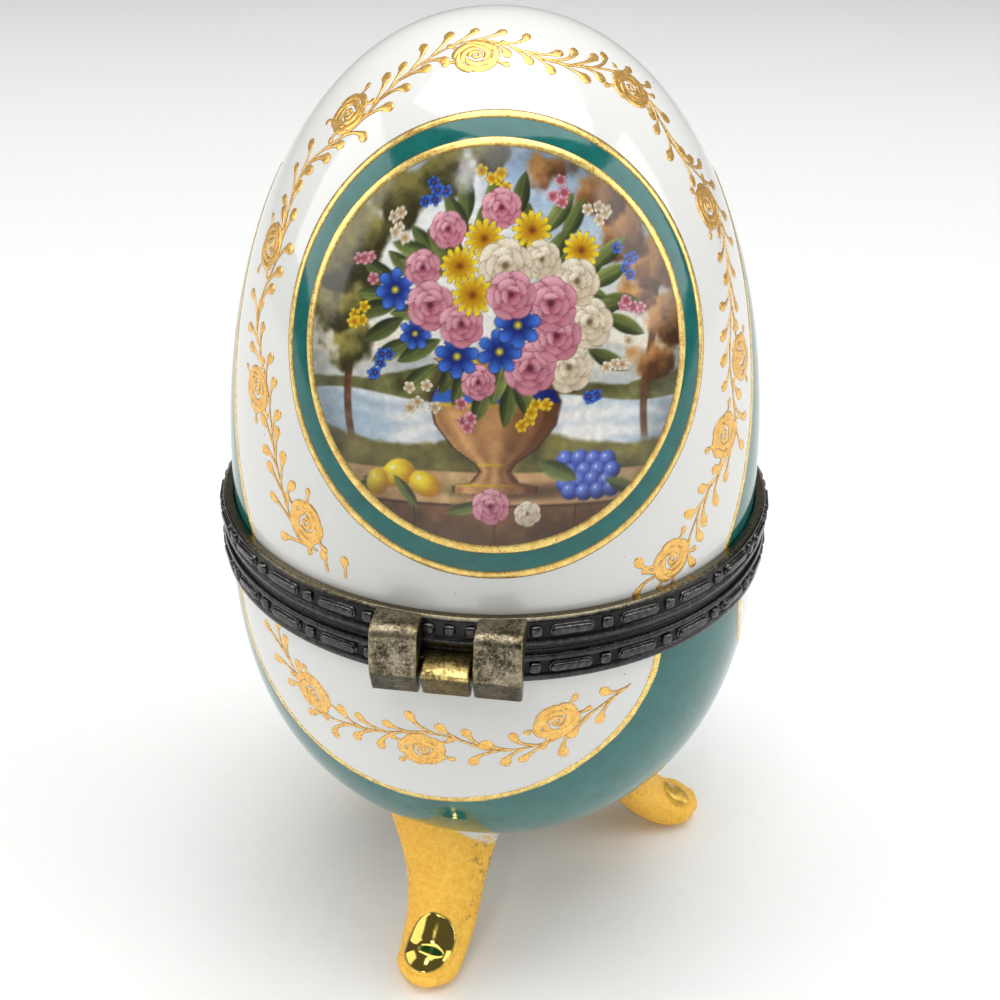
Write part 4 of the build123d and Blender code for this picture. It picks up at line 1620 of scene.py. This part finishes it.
class EGG_OT_hinge(bpy.types.Operator):
    """Make the hinge's knuckles and pin"""

    bl_idname = "egg_box.hinge"
    bl_label = "Hinge"

    def execute(self, context):
        make_finishes()
        bowl_reach = bowl_high[0] + 0.3
        lid_reach = lid_high[0] + 0.4
        pin = pin_high[2] - hinge_pivot[2]
        play = 0.04
        half = base_knuckle_high[0]
        near = lid_knuckle_low[0]
        far = lid_knuckle_high[0]
        knuckles = [("hinge_lid_knuckle_left", -far, -near, 1, lid_reach, "lid"),
                    ("hinge_base_knuckle", -half, half, -1, bowl_reach, "base"),
                    ("hinge_lid_knuckle_right", near, far, 1, lid_reach, "lid")]
        for name, start, end, way, inner, body in knuckles:
            shapes = knuckle_shapes(start, end, way, inner, pin + play)
            piece = make_piece(name + "_cast", shapes.all_points(), shapes.faces, "rim_brass",
                               body, [name], sharp=50.0)
            # Edge wear, whose rubbed grey is partly a painted highlight
            store_wear(piece, RIM_WEAR)
        tip = 0.2
        rows = [(0.0, pin_low[0]), (pin - tip, pin_low[0]), (pin, pin_low[0] + tip), (pin, pin_high[0] - tip),
                (pin - tip, pin_high[0]), (0.0, pin_high[0])]
        points, faces = barrel(rows, 32)
        piece = make_piece("hinge_pin_turned", points, faces, "rim_brass", "base",
                           ["hinge_pin"])
        store_wear(piece, RIM_WEAR)
        return {"FINISHED"}


# Sections of a foot: reach from the axis, level, slope in degrees, width, depth and lean to one side
FOOT_SECTIONS = [(13.5, 17.5, 60.0, 15.8, 9.5, -2.0), (17.4, 10.6, 60.0, 10.6, 7.0, -0.5),
                 (20.3, 5.6, 46.0, 8.8, 5.8, 0.0), (24.0, 2.5, 18.0, 8.0, 5.4, 0.0),
                 (26.6, 2.1, 0.0, 7.2, 4.4, 0.0), (28.4, 2.1, 0.0, 3.8, 2.0, 0.0)]
# Nails: foot, size, place towards the toe's tip and to one side, swelling and polish
NAILS = [("foot_front", 1.0, 0.0, 0.0, 1.0, 1.0), ("foot_right", 0.58, 0.6, -1.6, 1.8, 0.5),
         ("foot_left", 0.8, 0.6, 0.0, 1.3, 0.8)]
FOOT_RINGS = 150
FOOT_SIDES = 112
NAIL_DEPTH = 2.0
FAR_FROM_NAIL = 9.0
UPWARDS = np.array([0.0, 0.0, 1.0])


def foot_axes(azimuth):
    """Directions out from the egg's axis and across a foot."""
    return (np.array([math.sin(azimuth), -math.cos(azimuth), 0.0]),
            np.array([math.cos(azimuth), math.sin(azimuth), 0.0]))


def foot_rings(azimuth):
    """Rings of points along a foot, from its root to the tip of its toe."""
    rows = curve_through(FOOT_SECTIONS, FOOT_RINGS)
    cap = np.linspace(0.0, 0.5 * math.pi, 8)[1:-1]
    caps = np.repeat(rows[-1:], len(cap), 0)
    caps[:, 0] += 0.45 * np.sin(cap)
    caps[:, 3:5] *= np.cos(cap)[:, None]
    outwards, aside = foot_axes(azimuth)
    turns = full_turn(FOOT_SIDES)
    rings = []
    for reach, level, slope, width, depth, lean in np.concatenate([rows, caps]):
        drop = math.radians(slope)
        lift = math.sin(drop) * outwards + math.cos(drop) * UPWARDS
        middle = reach * outwards + lean * aside + level * UPWARDS
        rings.append(middle + 0.5 * width * np.cos(turns)[:, None] * aside
                     + 0.5 * depth * np.sin(turns)[:, None] * lift)
    return rings


def nail_places(points, azimuth, size, shift, lean):
    """Place of each point on its foot's nail, 0 in the middle and 1 at the border, and its direction."""
    foot = settings().foot
    outwards, aside = foot_axes(azimuth)
    down = math.cos(foot.nail_slope) * outwards - math.sin(foot.nail_slope) * UPWARDS
    upper = math.sin(foot.nail_slope) * outwards + math.cos(foot.nail_slope) * UPWARDS
    tilt = math.atan(0.4 * lean)
    normal = math.cos(tilt) * upper + math.sin(tilt) * aside
    flank = math.cos(tilt) * aside - math.sin(tilt) * upper
    along = math.cos(foot.nail_turn) * down - math.sin(foot.nail_turn) * flank
    across = math.cos(foot.nail_turn) * flank + math.sin(foot.nail_turn) * down
    middle = in_mm(foot.nail_reach) * outwards + in_mm(foot.nail_level) * UPWARDS
    offset = points - (middle + shift * down + lean * aside)
    lengthwise = offset @ along / in_mm(foot.nail_length)
    sidewise = offset @ across / in_mm(foot.nail_width)
    power = 2.4
    oval = ((np.abs([lengthwise, sidewise]) / size) ** power).sum(0) ** (1 / power)
    return np.where(offset @ normal > -NAIL_DEPTH, oval, FAR_FROM_NAIL), normal


class EGG_OT_feet(bpy.types.Operator):
    """Make the gilded feet"""

    bl_idname = "egg_box.feet"
    bl_label = "Feet"

    def execute(self, context):
        make_finishes()
        foot = settings().foot
        bowl = bowl_half()
        sunk = 0.9
        seat = EggHalf(bowl.radius - sunk, bowl.height - sunk, bowl.fullness, bowl.level, bowl.way)
        turns = (foot.front_turn, foot.right_turn, foot.left_turn)
        for azimuth, (name, size, shift, lean, swell, polish) in zip(turns, NAILS):
            points, faces = stacked(foot_rings(azimuth))
            oval, normal = nail_places(points, azimuth, size, shift, lean)
            dome = swell * in_mm(foot.nail_dome) * np.sqrt(np.clip(1.0 - oval ** 2, 0.0, 1.0))
            groove = 0.22 * np.exp(-((oval - 1.06) / 0.06) ** 2)
            points = points + (dome - groove)[:, None] * normal
            buried = seat.miss(points) < 0.0
            points[buried] = seat.settle(points[buried], 12)
            points[:, 2] = np.maximum(points[:, 2], 0.0)
            piece = make_piece(name + "_gilt", points, faces, "foot_gold", "base", [name], 70.0)
            store(piece, "nail", polish * smooth(1.02 - oval, 0.0, 0.05))
            across = points @ foot_axes(azimuth)[1]
            seam = bowl.miss(points)
            store(piece, "seam", smooth(0.045 - seam, 0.0, 0.04))
            store(piece, "bare", smooth(0.15 - seam - 0.03 * np.abs(across - 5.0), 0.0, 0.03))
            smudge = smooth(-across, 3.0, 4.4) * np.exp(-((points[:, 2] - 9.0) / 1.8) ** 2)
            store(piece, "edge", smooth(across, 2.6, 4.2) * smooth(points[:, 2], 5.0, 7.0) + 0.8 * smudge)
        return {"FINISHED"}


def add_lamp(name, place, aim, width, height, power, colour):
    """Soft rectangular lamp, aimed at a point."""
    data = bpy.data.lights.new(name, "AREA")
    data.shape = "RECTANGLE"
    data.size = width
    data.size_y = height
    data.energy = power
    data.color = colour
    lamp = new_object(name, data)
    lamp.location = place
    lamp.rotation_euler = (Vector(aim) - Vector(place)).to_track_quat("-Z", "Y").to_euler()
    return lamp


def make_floor():
    """Pale floor, wide enough to fill the view."""
    reach = 3.0
    points = [(-reach, -reach, 0.0), (reach, -reach, 0.0), (reach, reach, 0.0), (-reach, reach, 0.0)]
    mesh = bpy.data.meshes.new("floor")
    mesh.from_pydata(points, [], [(0, 1, 2, 3)])
    mesh.materials.append(bpy.data.materials["table_top"])
    floor = new_object("floor", mesh)


def make_camera():
    """Camera at the photograph's view."""
    stage = settings().stage
    back = Vector((math.sin(stage.azimuth) * math.cos(stage.elevation),
                   -math.cos(stage.azimuth) * math.cos(stage.elevation), math.sin(stage.elevation)))
    right = Vector((math.cos(stage.azimuth), math.sin(stage.azimuth), 0.0))
    up = back.cross(right)
    target = right * stage.target_side + Vector((0.0, 0.0, stage.target_level))
    across = math.cos(stage.roll) * right + math.sin(stage.roll) * up
    upright = math.cos(stage.roll) * up - math.sin(stage.roll) * right
    data = bpy.data.cameras.new("camera")
    data.lens = stage.focal
    data.sensor_width = 36.0
    data.clip_start = 0.01
    data.clip_end = 20.0
    camera = new_object("camera", data)
    turned = Matrix((across, upright, back)).transposed().to_4x4()
    camera.matrix_world = Matrix.Translation(target + back * stage.distance) @ turned
    bpy.context.scene.camera = camera


class EGG_OT_stage(bpy.types.Operator):
    """Set the floor, the light and the camera"""

    bl_idname = "egg_box.stage"
    bl_label = "Stage"

    def execute(self, context):
        make_finishes()
        make_floor()
        make_camera()
        world = bpy.data.worlds.new("studio")
        world.use_nodes = True
        sky = world.node_tree.nodes["Background"].inputs
        sky["Color"].default_value = (0.95, 0.97, 1.0, 1.0)
        sky["Strength"].default_value = 0.2
        context.scene.world = world
        middle = (0.0, 0.0, 0.06)
        add_lamp("overhead", (0.05, 0.05, 1.00), middle, 1.0, 1.0, 10.5, (1.0, 1.0, 0.99))
        add_lamp("left_side", (-0.80, -0.10, 0.45), middle, 0.6, 0.6, 2.8, (1.0, 0.99, 0.97))
        add_lamp("right_side", (0.85, 0.0, 0.45), middle, 0.6, 0.6, 3.0, (0.99, 0.99, 1.0))
        add_lamp("window", (-0.20, -0.70, 1.10), middle, 0.16, 0.22, 1.3, (1.0, 0.99, 0.97))
        toes = (0.0, -0.05, -0.02)
        low = add_lamp("front_low", (-0.08, -0.50, 0.10), toes, 0.12, 0.04, 0.014, (1.0, 0.99, 0.96))
        low.data.spread = math.radians(16.0)
        context.scene.view_settings.view_transform = "Standard"
        return {"FINISHED"}


class EGG_PT_box(bpy.types.Panel):
    """Sidebar panel of the egg box"""

    bl_label = "Egg Box"
    bl_idname = "EGG_PT_box"
    bl_space_type = "VIEW_3D"
    bl_region_type = "UI"
    bl_category = "Egg Box"

    def draw(self, context):
        for operator in OPERATORS:
            self.layout.operator(operator.bl_idname)
        for name in ("glaze", "gilt", "metal", "foot", "stage"):
            group = getattr(context.scene.egg_box, name)
            column = self.layout.column(heading=name.title())
            for key in group.__annotations__:
                column.prop(group, key)


OPERATORS = (EGG_OT_shells, EGG_OT_panel_lines, EGG_OT_medallion, EGG_OT_vines, EGG_OT_rims, EGG_OT_clasp,
             EGG_OT_hinge, EGG_OT_feet, EGG_OT_stage)
GROUPS = (GlazeSettings, GiltSettings, MetalSettings, FootSettings, StageSettings, EggSettings)


def register():
    """Register the settings, the operators and the panel."""
    for item in (*GROUPS, *OPERATORS, EGG_PT_box):
        bpy.utils.register_class(item)
    bpy.types.Scene.egg_box = PointerProperty(type=EggSettings)


def unregister():
    """Take back what register added."""
    del bpy.types.Scene.egg_box
    for item in reversed((*GROUPS, *OPERATORS, EGG_PT_box)):
        bpy.utils.unregister_class(item)


def main():
    """Build the whole box."""
    register()
    bpy.ops.egg_box.shells()
    bpy.ops.egg_box.panel_lines()
    bpy.ops.egg_box.medallion()
    bpy.ops.egg_box.vines()
    bpy.ops.egg_box.rims()
    bpy.ops.egg_box.clasp()
    bpy.ops.egg_box.hinge()
    bpy.ops.egg_box.feet()
    bpy.ops.egg_box.stage()


if __name__ == "__main__":
    main()
